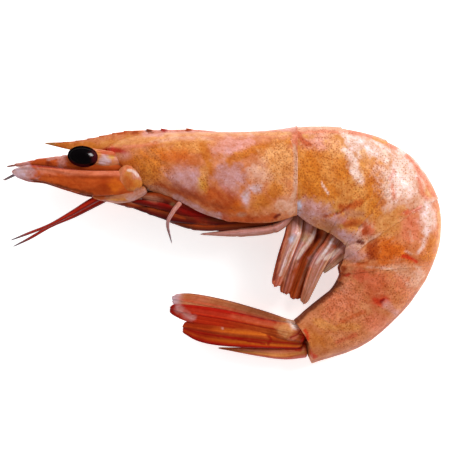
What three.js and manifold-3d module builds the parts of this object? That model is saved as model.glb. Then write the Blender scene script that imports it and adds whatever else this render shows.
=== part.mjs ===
// A whole tiger prawn in its shell, curled and lying on its right side.
// Millimetres, +Z up: the table is z = 0, the head points to -X and the back of the head end to +Y.
// The origin is on the table, under the middle of the prawn.
//
// Every piece is a turned unit form that is bent round a spine: the shells round the body's own
// cross-sections, and the limbs round a curve. Where two pieces meet, the later one is cut
// back from the earlier one by CLEARANCE.

import * as THREE from "three";
import { mergeVertices } from "three/addons/utils/BufferGeometryUtils.js";
import Module from "manifold-3d";

const wasm = await Module();
wasm.setup();

// ---------------------------------------------------------------- driving dimensions

const CLEARANCE = 0.3; // gap between pieces that touch
const AXIS = 10.3; // height of the head's middle plane above the table
const SHELL_LIP = 0.055; // thickness of a shell's hind rim, as a share of the cross-section
const TUCK = 0.3; // how far a shell reaches in under the one before it, in cross-sections
const TUCK_ROOM = 0.5; // how far the shell before it is hollowed for it
const SIDES = [
  ["left", 1], // the upper side
  ["right", -1],
];

// Cross-sections of the head shield, front to rear:
// [back x, back y, belly x, belly y, half width, height of the middle plane]
const HEAD_SECTIONS = [
  [-30.5, 24.6, -20.0, 13.6, 5.2, AXIS],
  [-24.2, 27.0, -16.2, 12.6, 7.6, AXIS],
  [-16.8, 28.0, -11.2, 10.9, 9.1, AXIS],
  [-8.8, 28.4, -5.5, 7.9, 9.9, AXIS],
  [-0.8, 28.3, 0.8, 6.0, 10.3, AXIS],
  [6.8, 28.4, 7.8, 5.3, 10.4, AXIS],
  [12.8, 28.9, 13.2, 5.7, 10.3, 10.3],
  [18.0, 29.7, 17.8, 7.2, 10.1, 10.2],
];

// Cross-sections of the tail, two to a segment, in the same form.
const TAIL_SECTIONS = [
  [18.0, 29.7, 17.8, 7.2, 10.1, 10.2],
  [23.5, 29.7, 21.2, 4.8, 10.1, 10.1],
  [29.0, 29.4, 24.8, 3.2, 10.0, 10.0],
  [34.6, 28.1, 27.4, 1.6, 10.1, 9.9],
  [40.3, 26.2, 29.2, 0.2, 9.8, 9.8],
  [47.9, 21.0, 29.6, -1.8, 9.7, 9.6],
  [53.4, 11.5, 29.1, -3.7, 9.2, 9.2],
  [54.0, 2.6, 28.3, -5.6, 9.0, 8.9],
  [52.0, -5.1, 28.6, -7.2, 8.4, 8.5],
  [48.6, -11.4, 28.0, -9.0, 7.9, 8.0],
  [43.6, -17.6, 26.5, -11.3, 7.1, 7.5],
  [34.4, -25.2, 22.3, -14.6, 6.2, 6.9],
  [21.9, -29.6, 17.2, -19.1, 5.1, 6.3],
];
const SECTIONS_PER_SEGMENT = 2;
const SEGMENTS = 6;
// How far the hind rim of each shell, from the head shield's on, bulges back at the side, in sections.
const RIM_BULGE = [0, 0.7, 0.75, -0.1, 0, 0, -0.12];

// The saw on the forehead: its upper line, its lower line, and where each tooth is and how high.
const SAW_TOP = [
  [-45.0, 25.6],
  [-38.5, 25.9],
  [-33.5, 26.7],
  [-28.5, 27.8],
  [-23.5, 28.6],
  [-16.0, 28.8],
  [-8.0, 28.9],
  [-2.0, 28.4],
];
const SAW_UNDER = [
  [-2.2, 25.8],
  [-23.0, 23.6],
  [-31.0, 22.6],
  [-38.2, 23.7],
  [-45.0, 25.3],
];
const SAW_TEETH = [
  [-39.6, 0.06],
  [-36.6, 0.08],
  [-33.6, 0.1],
  [-30.6, 0.1],
  [-27.4, 0.12],
  [-24.4, 0.15],
  [-18.8, 0.35],
  [-15.2, 0.4],
  [-8.9, 0.35],
];
const TOOTH_LENGTH = 1.8;

// Limbs are lists of [x, y, z off the middle plane, half depth, half breadth], root to tip.
// z is positive outwards, so the same list serves both sides.
const EYE = { at: [-35.25, 22, 4.9], half: [3.85, 2.65, 2.4], tilt: -0.12 };
const EYE_STALK = [
  [-24.6, 20.9, 2.8, 2.0, 1.4],
  [-30.0, 21.3, 3.8, 2.3, 1.5],
  [-34.0, 22.1, 4.2, 2.1, 1.5],
];
const FACE = [
  [-17.5, 17.4, 0, 5.8, 4.8],
  [-26.0, 17.8, 0, 6.2, 4.2],
  [-33.0, 17.4, 0, 4.6, 2.8],
  [-39.0, 18.8, 0, 1.8, 1.5],
];
const ANTENNULE = [
  [-24.0, 19.0, 2.8, 1.9, 1.5],
  [-34.0, 20.0, 3.4, 2.1, 1.7],
  [-40.0, 20.5, 3.2, 1.8, 1.6],
  [-46.5, 20.5, 2.6, 0.95, 0.9],
  [-52.0, 20.0, 1.9, 0.3, 0.35],
  [-54.6, 19.6, 1.6, 0.12, 0.15],
];
const ANTENNULE_WHIP = [
  [-45.4, 20.3, 2.5, 0.5, 0.5],
  [-49.4, 19.1, 1.8, 0.4, 0.4],
  [-52.6, 17.6, 1.8, 0.28, 0.28],
  [-55.4, 16.2, 2.0, 0.12, 0.12],
];
const FEELER_SCALE = [
  [-21.5, 15.6, 5.0, 2.9, 1.3],
  [-32.5, 15.4, 6.2, 3.05, 0.8],
  [-39.0, 16.4, 5.6, 2.5, 0.65],
  [-45.0, 17.7, 4.8, 1.9, 0.55],
  [-49.4, 18.1, 4.2, 1.75, 0.45],
  [-53.0, 18.2, 3.6, 0.6, 0.25],
];
const FEELER_KNOB = { at: [-23.5, 16.5, 5.2], half: [3.3, 3.6, 1.9], tilt: 0.3 };
const FEELER_STALK = [
  [-19.6, 14.0, 4.6, 1.0, 1.1],
  [-22.6, 12.6, 4.9, 1.5, 1.2],
  [-27.0, 12.0, 4.5, 1.6, 1.2],
  [-33.0, 12.4, 3.6, 0.8, 0.9],
];
const FEELERS = {
  left: [
    [-30.6, 12.3, 3.3, 0.8, 0.8],
    [-33.9, 10.5, 3.0, 0.8, 0.75],
    [-38.2, 8.0, 1.8, 0.62, 0.6],
    [-44.0, 5.0, -1.0, 0.38, 0.4],
    [-49.5, 2.9, -3.8, 0.35, 0.3],
    [-54.3, 1.1, -6.2, 0.12, 0.12],
  ],
  right: [
    [-29.8, 11.8, 3.2, 0.85, 0.8],
    [-33.4, 10.0, 3.6, 0.85, 0.75],
    [-38.2, 7.4, 5.0, 0.62, 0.6],
    [-44.0, 4.8, 7.2, 0.4, 0.4],
    [-49.5, 1.7, 8.8, 0.35, 0.3],
    [-53.9, -0.5, 9.5, 0.12, 0.12],
  ],
};
const JAW_FOOT = [
  [-9.0, 8.4, 2.6, 1.1, 1.0],
  [-17.0, 9.6, 2.9, 1.3, 1.1],
  [-24.0, 10.6, 2.8, 1.2, 1.1],
  [-30.5, 12.1, 2.3, 0.85, 0.8],
  [-37.0, 13.2, 1.7, 0.4, 0.4],
];
const BREAST = [
  [-20.0, 12.4, 0, 2.0, 3.0],
  [-9.0, 9.0, 0, 2.8, 4.2],
  [3.0, 6.4, 0, 2.8, 4.4],
  [15.5, 7.0, 0, 2.0, 3.6],
];
const LEGS = [
  [
    [-2.0, 7.6, 4.0, 1.2, 0.8],
    [-9.5, 9.7, 5.2, 1.2, 0.75],
    [-16.0, 11.8, 5.1, 1.2, 0.7],
    [-22.5, 12.3, 4.0, 0.5, 0.4],
  ],
  [
    [0.5, 6.4, 3.9, 1.1, 0.8],
    [-8.5, 7.9, 5.0, 1.15, 0.75],
    [-16.0, 10.0, 4.8, 1.15, 0.7],
    [-24.5, 11.1, 3.4, 0.4, 0.35],
  ],
  [
    [4.0, 5.5, 3.9, 1.0, 0.9],
    [-5.0, 6.1, 4.9, 1.15, 0.8],
    [-12.8, 7.0, 4.7, 1.2, 0.7],
    [-18.4, 8.6, 3.9, 1.05, 0.65],
    [-25.6, 10.4, 2.4, 0.25, 0.3],
  ],
  [
    [12.4, 5.4, 3.6, 1.0, 1.0],
    [-1.0, 4.7, 4.2, 1.15, 0.9],
    [-7.6, 4.8, 4.2, 1.05, 0.85],
    [-13.0, 6.2, 3.6, 0.75, 0.7],
    [-21.0, 9.4, 2.2, 0.25, 0.3],
  ],
  [
    [16.6, 7.6, 4.6, 0.9, 1.0],
    [12.6, 4.3, 4.8, 1.1, 1.1],
    [4.0, 3.1, 4.4, 1.0, 1.0],
    [-6.2, 2.7, 3.4, 0.2, 0.3],
  ],
];
const HANGING_CLAW = [
  [-11.0, 10.6, 7.2, 0.6, 0.5],
  [-12.9, 8.2, 7.5, 0.55, 0.45],
  [-14.2, 5.2, 7.0, 0.42, 0.4],
  [-13.2, 0.5, 5.8, 0.1, 0.12],
];
const SWIMMERETS = [
  [
    [17.6, 7.0, 3.0, 2.1, 1.6],
    [16.9, 2.6, 5.0, 2.0, 0.9],
    [14.8, -3.4, 5.2, 1.75, 0.5],
    [12.4, -10.5, 4.2, 1.15, 0.25],
  ],
  [
    [21.2, 6.6, 2.6, 2.2, 1.6],
    [20.3, 2.4, 4.0, 2.3, 0.9],
    [17.3, -3.2, 4.1, 1.9, 0.5],
    [14.7, -12.4, 3.1, 1.35, 0.25],
  ],
  [
    [25.0, 4.6, 2.2, 2.2, 1.6],
    [23.8, 1.2, 3.0, 2.2, 0.9],
    [20.6, -4.0, 3.0, 2.1, 0.5],
    [17.0, -13.7, 2.2, 1.6, 0.25],
  ],
  [
    [28.2, 3.0, 3.4, 2.0, 1.6],
    [26.4, 0.2, 4.8, 1.8, 0.9],
    [23.0, -5.2, 4.9, 1.9, 0.5],
    [19.4, -14.8, 3.4, 1.0, 0.25],
  ],
  [
    [31.2, 0.6, 3.4, 2.4, 1.6],
    [28.8, -1.5, 4.6, 2.2, 1.2],
    [26.4, -3.9, 4.4, 1.8, 0.7],
    [24.0, -6.7, 3.2, 0.9, 0.25],
  ],
];
const FAR_SWIMMERETS_OFF = [0.2, 0.3]; // the under side's swimming legs lie this far from the upper's
const TAIL_AXIS = 6.1;
const BLADE = 1.6; // how square a blade is across: 2 is oval, and less thins towards its edges
const TELSON = [
  [20.6, -26.4, 0, 2.0, 2.6],
  [15.0, -27.2, 0, 1.7, 2.3],
  [8.0, -26.9, 0, 1.1, 1.5],
  [-1.6, -26.0, 0, 0.15, 0.25],
];
const FAR_SCALE_DROP = 0.45; // how much lower on the head the under side's feeler scale is
const FAN_OUTER = {
  left: [
    [20.2, -22.8, 2.4, 2.0, 1.5],
    [15.4, -21.6, 3.0, 2.3, 1.4],
    [9.8, -20.6, 3.1, 2.15, 0.7],
    [0.0, -18.6, 3.2, 2.35, 0.55],
    [-8.6, -17.2, 3.1, 2.2, 0.45],
    [-14.0, -15.9, 2.9, 1.2, 0.25],
  ],
  right: [
    [19.0, -21.2, 2.6, 1.8, 1.5],
    [15.4, -20.6, 3.4, 1.9, 1.4],
    [9.8, -18.9, 3.6, 2.1, 0.7],
    [0.0, -16.3, 3.7, 2.3, 0.55],
    [-8.6, -14.6, 3.6, 2.25, 0.45],
    [-13.6, -13.6, 3.2, 1.2, 0.25],
  ],
};
const FAN_INNER = [
  [19.6, -24.4, 2.3, 1.8, 0.9],
  [9.2, -23.2, 2.9, 2.7, 0.7],
  [0.0, -22.3, 3.0, 3.1, 0.55],
  [-6.0, -21.5, 2.9, 2.8, 0.45],
  [-10.8, -20.6, 2.6, 1.3, 0.25],
];

// ---------------------------------------------------------------- materials

const finish = (color, roughness) => new THREE.MeshStandardMaterial({ color, roughness, metalness: 0 });
const SHELL = finish(0xe08a52, 0.35);
const RED_SHELL = finish(0xc4401c, 0.35);
const PALE_LIMB = finish(0xe3b59a, 0.4);
const DARK_LIMB = finish(0x9a3a1c, 0.45);
const EYE_BLACK = finish(0x140a0c, 0.12);

// ---------------------------------------------------------------- solids

// A closed geometry as a solid that can be joined and cut, facing outwards.
function solidFrom(geometry) {
  geometry.deleteAttribute("normal");
  geometry.deleteAttribute("uv");
  const merged = mergeVertices(geometry, 1e-4);
  const triVerts = new Uint32Array(merged.index.array);
  const vertProperties = merged.attributes.position.array;
  const make = () => new wasm.Manifold(new wasm.Mesh({ numProp: 3, vertProperties, triVerts }));
  const solid = make();
  if (solid.volume() > 0) return solid;
  triVerts.reverse();
  return make();
}

// The solid made larger all over by distance: each corner moves out far enough to clear its faces.
function grown(solid, distance) {
  const geometry = geometryFrom(solid);
  const position = geometry.getAttribute("position");
  const normal = geometry.getAttribute("normal");
  const index = geometry.index.array;
  const steepest = new Array(position.count).fill(1);
  const corner = (i) => new THREE.Vector3().fromBufferAttribute(position, i);
  for (let i = 0; i < index.length; i += 3) {
    const face = new THREE.Triangle(corner(index[i]), corner(index[i + 1]), corner(index[i + 2]));
    const facing = face.getNormal(new THREE.Vector3());
    for (const vertex of [index[i], index[i + 1], index[i + 2]]) {
      const lean = facing.dot(new THREE.Vector3().fromBufferAttribute(normal, vertex));
      steepest[vertex] = Math.min(steepest[vertex], Math.max(lean, 0.5));
    }
  }
  for (let i = 0; i < position.count; i++) {
    const moved = corner(i).addScaledVector(
      new THREE.Vector3().fromBufferAttribute(normal, i),
      distance / steepest[i],
    );
    position.setXYZ(i, ...moved.toArray());
  }
  return solidFrom(geometry);
}

// A solid as a geometry again.
function geometryFrom(solid) {
  const mesh = solid.getMesh();
  const geometry = new THREE.BufferGeometry();
  geometry.setAttribute("position", new THREE.BufferAttribute(new Float32Array(mesh.vertProperties), 3));
  geometry.setIndex(new THREE.BufferAttribute(new Uint32Array(mesh.triVerts), 1));
  geometry.computeVertexNormals();
  return geometry;
}

// Turns a profile of [radius, distance along] into a closed unit form, then moves each of its points
// to where place(along, angle, radius) says. The angle is 0 at the back and half a turn at the belly.
function wrap(profile, around, place) {
  const outline = profile.map(([radius, along]) => new THREE.Vector2(radius, along));
  const geometry = new THREE.LatheGeometry(outline, around);
  const position = geometry.getAttribute("position");
  for (let i = 0; i < position.count; i++) {
    const x = position.getX(i);
    const z = position.getZ(i);
    const point = place(position.getY(i), Math.atan2(x, z), Math.hypot(x, z));
    position.setXYZ(i, point.x, point.y, point.z);
  }
  return solidFrom(geometry);
}

// A point of a circle that is squared by so much: 2 leaves it round.
const squared = (angle, squareness) =>
  [Math.cos(angle), Math.sin(angle)].map((v) => Math.sign(v) * Math.abs(v) ** (2 / squareness));

const smoothCurve = (points) =>
  new THREE.CatmullRomCurve3(points.map((p) => new THREE.Vector3(...p)), false, "catmullrom", 0.5);

// ---------------------------------------------------------------- shells

// Where a point lies on a body with these cross-sections. station counts sections from the first.
function bodyOf(sections, ring) {
  const back = smoothCurve(sections.map((s) => [s[0], s[1], 0]));
  const belly = smoothCurve(sections.map((s) => [s[2], s[3], 0]));
  const size = smoothCurve(sections.map((s) => [s[4], s[5], 0]));
  const last = sections.length - 1;
  return (station, angle, radius) => {
    const share = THREE.MathUtils.clamp(station / last, 0, 1);
    const top = back.getPoint(share);
    const bottom = belly.getPoint(share);
    const half = top.clone().sub(bottom).multiplyScalar(0.5);
    const [halfWidth, middle] = size.getPoint(share).toArray();
    const [up, side] = ring(angle, station);
    const point = top.add(bottom).multiplyScalar(0.5);
    point.addScaledVector(half, up * radius);
    point.z = middle + side * radius * halfWidth;
    return point;
  };
}

// One point of a cross-section: an upright egg that is squared a little, with a hollow between the
// lower edges of its two side plates. The lowest points are at -1.
function shellRing(angle, squareness, hollow) {
  const cos = Math.cos(angle);
  const [up, side] = squared(angle, squareness);
  const under = THREE.MathUtils.smoothstep(-cos, 0.78, 1);
  return [cos > 0 ? up : up * 1.2 + hollow * under, side * (1 - 0.1 * cos)];
}

const HEAD_STEP = 1.6; // head cross-sections to one of the tail's, where they meet
const headBody = bodyOf(HEAD_SECTIONS, (angle) => shellRing(angle, 2.25, 0.34));
const tailBody = bodyOf(TAIL_SECTIONS, (angle) => shellRing(angle, 2.3, 0.36));

function headShield() {
  const rear = HEAD_SECTIONS.length - 1;
  const profile = [[0, 0.03], [0.5, 0.01], [0.82, 0], [0.95, 0.12]];
  for (let station = 0.6; station < rear - 0.4; station += 0.7) profile.push([1, station]);
  profile.push([1.0, rear - 0.3], [1.01, rear]);
  const cup = 1 - SHELL_LIP;
  const floor = rear - HEAD_STEP * TUCK_ROOM;
  profile.push([cup, rear], [cup - 0.01, floor], [0, floor]);
  return wrap(profile, 32, headBody);
}

// The forehead's saw, a thin upright blade that thickens downwards into the shield.
function saw() {
  const top = smoothCurve(SAW_TOP.map(([x, y]) => [x, y, 0]));
  const shape = new THREE.Shape();
  const [tipX, tipY] = SAW_TOP[0];
  shape.moveTo(tipX, tipY);
  const crest = (x) => {
    const samples = top.getPoints(60);
    const next = samples.findIndex((p) => p.x >= x);
    return samples[Math.max(next, 0)].y;
  };
  for (const [x, height] of SAW_TEETH) {
    shape.lineTo(x - 0.2 * TOOTH_LENGTH, crest(x - 0.2 * TOOTH_LENGTH));
    shape.lineTo(x - 0.35 * TOOTH_LENGTH, crest(x) + height);
    shape.lineTo(x + 0.65 * TOOTH_LENGTH, crest(x + 0.65 * TOOTH_LENGTH));
  }
  const [endX, endY] = SAW_TOP.at(-1);
  shape.lineTo(endX, endY);
  for (const [x, y] of SAW_UNDER) shape.lineTo(x, y);
  shape.closePath();
  const geometry = new THREE.ExtrudeGeometry(shape, { depth: 2, steps: 2, bevelEnabled: false });
  const position = geometry.getAttribute("position");
  for (let i = 0; i < position.count; i++) {
    const x = position.getX(i);
    const y = position.getY(i);
    const fromTip = THREE.MathUtils.clamp((x - tipX) / 16, 0, 1);
    const fromCrest = THREE.MathUtils.clamp((crest(x) - y + 1.2) / 4, 0.12, 1);
    const halfThick = 0.12 + 1.7 * fromTip * fromCrest;
    position.setZ(i, AXIS + (position.getZ(i) - 1) * halfThick);
  }
  return solidFrom(geometry);
}

// One ring of the tail's shell. Its front is tucked in under the ring before it.
function tailShell(segment) {
  const front = segment * SECTIONS_PER_SEGMENT;
  const rear = front + SECTIONS_PER_SEGMENT;
  const neck = 1 - 2.2 * SHELL_LIP;
  const cup = 1 - SHELL_LIP;
  const isLast = segment === SEGMENTS - 1;
  const profile = [[0, front - TUCK], [neck * 0.9, front - TUCK], [neck, front - 0.6 * TUCK], [neck, front]];
  for (const share of [0.1, 0.3, 0.5, 0.7, 0.88]) {
    profile.push([0.975 + 0.03 * Math.sin(share * 2.2), front + share * SECTIONS_PER_SEGMENT]);
  }
  profile.push([1.012, rear]);
  if (isLast) profile.push([0.8, rear], [0, rear]);
  else profile.push([cup, rear], [cup - 0.01, rear - TUCK_ROOM], [0, rear - TUCK_ROOM]);
  return wrap(profile, 24, tailPoint);
}

// The tail's first shell reaches forward into the head shield, along the head's own sections.
function tailPoint(station, angle, radius) {
  if (station < 0) return headBody(HEAD_SECTIONS.length - 1 + station * HEAD_STEP, angle, radius);
  const rim = Math.min(Math.floor(station / SECTIONS_PER_SEGMENT), SEGMENTS - 1);
  const past = THREE.MathUtils.smoothstep(station / SECTIONS_PER_SEGMENT - rim, 0, 1);
  const bulge = THREE.MathUtils.lerp(RIM_BULGE[rim], RIM_BULGE[rim + 1], past);
  return tailBody(station + bulge * Math.sin(angle) ** 2, angle, radius);
}

// ---------------------------------------------------------------- limbs

// A limb along a list of [x, y, z, half depth, half breadth], with rounded ends. It is oval at its root,
// and from there on as square as squareness says.
function limb(rows, { middle, side, around = 8, along = 8, squareness = 2 }) {
  const line = smoothCurve(rows.map((r) => [r[0], r[1], middle + side * r[2]]));
  const size = smoothCurve(rows.map((r) => [r[3], r[4], 0]));
  const upright = new THREE.Vector3(0, 0, 1);
  const profile = [[0, 0], [0.8, 0.01]];
  for (let i = 0; i < along; i++) profile.push([1, 0.04 + (0.92 * i) / (along - 1)]);
  profile.push([0.7, 0.99], [0, 1]);
  return wrap(profile, around, (share, angle, radius) => {
    const point = line.getPoint(share);
    const tangent = line.getTangent(share);
    const across = upright.clone().cross(tangent).normalize();
    const out = tangent.clone().cross(across).normalize();
    const [depth, breadth] = size.getPoint(share).toArray();
    const blade = THREE.MathUtils.smoothstep(share, 0.15, 0.4);
    const [wide, thick] = squared(angle, THREE.MathUtils.lerp(2, squareness, blade));
    point.addScaledVector(across, wide * radius * depth);
    return point.addScaledVector(out, thick * radius * breadth);
  });
}

// An egg-shaped piece, such as an eye.
function egg({ at, half, tilt }, { middle, side, around = 14 }) {
  const geometry = new THREE.SphereGeometry(1, around, Math.round(around * 0.6));
  geometry.scale(...half);
  geometry.rotateZ(tilt);
  geometry.translate(at[0], at[1], middle + side * at[2]);
  return solidFrom(geometry);
}

// ---------------------------------------------------------------- assembly

const prawn = new THREE.Group();
const placed = [];

const boxesMeet = (a, b) => a.max.every((high, i) => high > b.min[i] && b.max[i] > a.min[i]);

const table = (() => {
  const geometry = new THREE.BoxGeometry(200, 200, 40);
  geometry.translate(0, 0, -20);
  return solidFrom(geometry);
})();

// Adds a piece. It is cut flat at the table, and cut back from the pieces placed before it unless it is
// fitted to them by its own sizes.
function add(name, material, whole, { fitted = false } = {}) {
  let solid = whole.subtract(table);
  if (!fitted) {
    for (const other of placed) {
      if (boxesMeet(solid.boundingBox(), other.boundingBox())) solid = solid.subtract(other);
    }
  }
  const bodies = solid.decompose();
  solid = bodies.reduce((largest, body) => (body.volume() > largest.volume() ? body : largest));
  placed.push(grown(whole, CLEARANCE));
  const mesh = new THREE.Mesh(geometryFrom(solid), material);
  mesh.name = name;
  prawn.add(mesh);
}

add("head_shield", SHELL, headShield().add(saw()));
for (let segment = 0; segment < SEGMENTS; segment++) {
  add(`tail_shell_${segment + 1}`, SHELL, tailShell(segment), { fitted: true });
}

const inHead = (side, around, along) => ({ middle: AXIS, side, around, along });
add("face", SHELL, limb(FACE, inHead(1, 8, 4)));
for (const [label, side] of SIDES) {
  add(`eye_${label}`, EYE_BLACK, egg(EYE, inHead(side, 12)));
  add(`eye_stalk_${label}`, PALE_LIMB, limb(EYE_STALK, inHead(side, 8, 3)));
  const knob = egg(FEELER_KNOB, inHead(side, 10));
  add(`feeler_base_${label}`, SHELL, knob.add(limb(FEELER_STALK, inHead(side, 8, 4))));
  const drop = side > 0 ? 0 : FAR_SCALE_DROP;
  const scale = FEELER_SCALE.map(([x, y, ...rest]) => [x, y - drop, ...rest]);
  add(`feeler_scale_${label}`, SHELL, limb(scale, inHead(side, 8, 6)));
  const whip = limb(ANTENNULE_WHIP, inHead(side, 5, 4));
  add(`antennule_${label}`, SHELL, limb(ANTENNULE, inHead(side, 6, 6)).add(whip));
  add(`feeler_${label}`, RED_SHELL, limb(FEELERS[label], inHead(side, 6, 9)));
}

add("breast", DARK_LIMB, limb(BREAST, inHead(1, 8, 4)));
for (const [label, side] of SIDES) {
  add(`jaw_foot_${label}`, DARK_LIMB, limb(JAW_FOOT, inHead(side, 6, 5)));
  LEGS.forEach((rows, i) => {
    const material = i === LEGS.length - 1 ? PALE_LIMB : DARK_LIMB;
    add(`leg_${i + 1}_${label}`, material, limb(rows, inHead(side, 6, 5)));
  });
}
add("claw_left", PALE_LIMB, limb(HANGING_CLAW, inHead(1, 6, 5)));

SWIMMERETS.forEach((rows, i) => {
  for (const [label, side] of SIDES) {
    const place = { middle: 10 - 0.35 * i, side, around: 8, along: 5, squareness: BLADE };
    const [offX, offY] = side > 0 ? [0, 0] : FAR_SWIMMERETS_OFF;
    const moved = rows.map(([x, y, ...rest]) => [x + offX, y + offY, ...rest]);
    add(`swimmeret_${i + 1}_${label}`, PALE_LIMB, limb(moved, place));
  }
});

const inTail = (side, around, along, squareness) => ({ middle: TAIL_AXIS, side, around, along, squareness });
add("telson", RED_SHELL, limb(TELSON, inTail(1, 8, 6)));
for (const [label, side] of SIDES) {
  add(`fan_outer_${label}`, RED_SHELL, limb(FAN_OUTER[label], inTail(side, 10, 8, BLADE)));
  add(`fan_inner_${label}`, RED_SHELL, limb(FAN_INNER, inTail(side, 8, 7, BLADE)));
}

// The origin goes under the middle of the whole prawn.
const extent = new THREE.Box3().setFromObject(prawn);
const middle = extent.getCenter(new THREE.Vector3());
prawn.position.set(-middle.x, -middle.y, -extent.min.z);

export default prawn;
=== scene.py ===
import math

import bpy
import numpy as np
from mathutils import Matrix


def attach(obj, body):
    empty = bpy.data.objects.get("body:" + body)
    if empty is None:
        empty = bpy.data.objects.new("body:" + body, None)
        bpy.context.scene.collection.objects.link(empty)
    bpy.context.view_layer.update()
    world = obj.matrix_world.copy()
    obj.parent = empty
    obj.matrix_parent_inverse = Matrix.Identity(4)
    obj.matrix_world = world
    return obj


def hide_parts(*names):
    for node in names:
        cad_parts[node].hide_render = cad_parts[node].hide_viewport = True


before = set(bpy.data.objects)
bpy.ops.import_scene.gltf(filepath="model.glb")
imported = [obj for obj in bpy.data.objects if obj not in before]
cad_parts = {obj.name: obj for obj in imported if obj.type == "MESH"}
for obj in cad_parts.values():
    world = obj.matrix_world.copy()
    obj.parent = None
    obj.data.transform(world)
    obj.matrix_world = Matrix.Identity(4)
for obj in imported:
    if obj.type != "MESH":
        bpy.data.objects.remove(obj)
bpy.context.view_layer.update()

# A whole tiger prawn in its shell, lying curled on its right side.
# Shapes are given in millimetres, with the table at z = 0, the head towards -X and the back towards +Y.
# Every soft-edged form starts as a flat grid that is rolled round a spine and closed, is then given its
# grooves and ridges, and is coloured mark by mark. A mark is a spot or a streak in the side view.

SHIFT = np.array([0.651, -0.0747, 0.0])  # from these sizes to the part's own origin
AXIS = 10.3  # height of the head's middle plane above the table
TAIL_AXIS = 6.1
SIDES = (("left", 1), ("right", -1))

# ---------------------------------------------------------------- sizes of the shells

# Cross-sections, front to rear: back x, back y, belly x, belly y, half width, height of the middle.
HEAD_SECTIONS = (
    (-30.5, 24.6, -20, 13.6, 5.2, AXIS),
    (-24.2, 27, -16.2, 12.6, 7.6, AXIS),
    (-16.8, 28, -11.2, 10.9, 9.1, AXIS),
    (-8.8, 28.4, -5.5, 7.9, 9.9, AXIS),
    (-0.8, 28.3, 0.8, 6, 10.3, AXIS),
    (6.8, 28.4, 7.8, 5.3, 10.4, AXIS),
    (12.8, 28.9, 13.2, 5.7, 10.3, 10.3),
    (18, 29.7, 17.8, 7.2, 10.1, 10.2),
)
TAIL_SECTIONS = (
    (18, 29.7, 17.8, 7.2, 10.1, 10.2),
    (23.5, 29.7, 21.2, 4.8, 10.1, 10.1),
    (29, 29.4, 24.8, 3.2, 10, 10),
    (34.6, 28.1, 27.4, 1.6, 10.1, 9.9),
    (40.3, 26.2, 29.2, 0.2, 9.8, 9.8),
    (47.9, 21, 29.6, -1.8, 9.7, 9.6),
    (53.4, 11.5, 29.1, -3.7, 9.2, 9.2),
    (54, 2.6, 28.3, -5.6, 9, 8.9),
    (52, -5.1, 28.6, -7.2, 8.4, 8.5),
    (48.6, -11.4, 28, -9, 7.9, 8),
    (43.6, -17.6, 26.5, -11.3, 7.1, 7.5),
    (34.4, -25.2, 22.3, -14.6, 6.2, 6.9),
    (21.9, -29.6, 17.2, -19.1, 5.1, 6.3),
)
SEGMENTS = 6
PER_SEGMENT = 2  # tail sections to a segment
RIM_BULGE = (0, 0.7, 0.75, -0.1, 0, 0, -0.12)  # how far each hind rim bulges back at the side, in sections
HEAD_STEP = 1.6  # head sections to one of the tail's, where they meet
LIP = 0.055  # thickness of a hind rim, as a share of the section
STEP_IN = (1, 1, 1, 1, 0.4, 0.15)  # how far each ring sinks behind the rim before it
TUCK = 0.3  # how far a shell reaches in under the one before it
TUCK_ROOM = 0.5

# The saw: its crest and lower edge as x, y, and each tooth's x and height.
SAW_TOP = ((-45, 25.6), (-38.5, 25.9), (-33.5, 26.7), (-28.5, 27.8), (-23.5, 28.6),
           (-16, 28.8), (-8, 28.9), (-2, 28.4))
SAW_UNDER = ((-45, 25.3), (-38.2, 23.7), (-31, 22.6), (-23, 23.6), (-2.2, 25.8))
SAW_TEETH = ((-39.6, 0.06), (-36.6, 0.08), (-33.6, 0.1), (-30.6, 0.1), (-27.4, 0.12),
             (-24.4, 0.15), (-18.8, 0.35), (-15.2, 0.4), (-8.9, 0.35))
TOOTH_LENGTH = 1.8

# ---------------------------------------------------------------- sizes of the limbs

# Rows run root to tip: x, y, height off the middle plane, half depth, half breadth. The eye and the knob
# under the feeler are eggs: their middle, half sizes and turn.
EYE = ((-35.25, 22, 4.9), (3.85, 2.65, 2.4), -0.12)
EYE_STALK = ((-24.6, 20.9, 2.8, 2, 1.4), (-30, 21.3, 3.8, 2.3, 1.5), (-34, 22.1, 4.2, 2.1, 1.5))
FACE = ((-17.5, 17.4, 0, 5.8, 4.8), (-26, 17.8, 0, 6.2, 4.2), (-33, 17.4, 0, 4.6, 2.8),
        (-39, 18.8, 0, 1.8, 1.5))
ANTENNULE = ((-24, 19, 2.8, 1.9, 1.5), (-34, 20, 3.4, 2.1, 1.7), (-40, 20.5, 3.2, 1.8, 1.6),
        (-46.5, 20.5, 2.6, 0.95, 0.9), (-52, 20, 1.9, 0.3, 0.35), (-54.6, 19.6, 1.6, 0.12, 0.15))
WHIP = ((-45.4, 20.3, 2.5, 0.5, 0.5), (-49.4, 19.1, 1.8, 0.4, 0.4), (-52.6, 17.6, 1.8, 0.28, 0.28),
        (-55.4, 16.2, 2, 0.12, 0.12))
SCALE = ((-21.5, 15.6, 5, 2.9, 1.3), (-32.5, 15.4, 6.2, 3.05, 0.8), (-39, 16.4, 5.6, 2.5, 0.65),
         (-45, 17.7, 4.8, 1.9, 0.55), (-49.4, 18.1, 4.2, 1.75, 0.45), (-53, 18.2, 3.6, 0.6, 0.25))
FAR_SCALE_DROP = 0.45
KNOB = ((-23.5, 16.5, 5.2), (3.3, 3.6, 1.9), 0.3)
STALK = ((-19.6, 14, 4.6, 1, 1.1), (-22.6, 12.6, 4.9, 1.5, 1.2), (-27, 12, 4.5, 1.6, 1.2),
        (-33, 12.4, 3.6, 0.8, 0.9))
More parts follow.
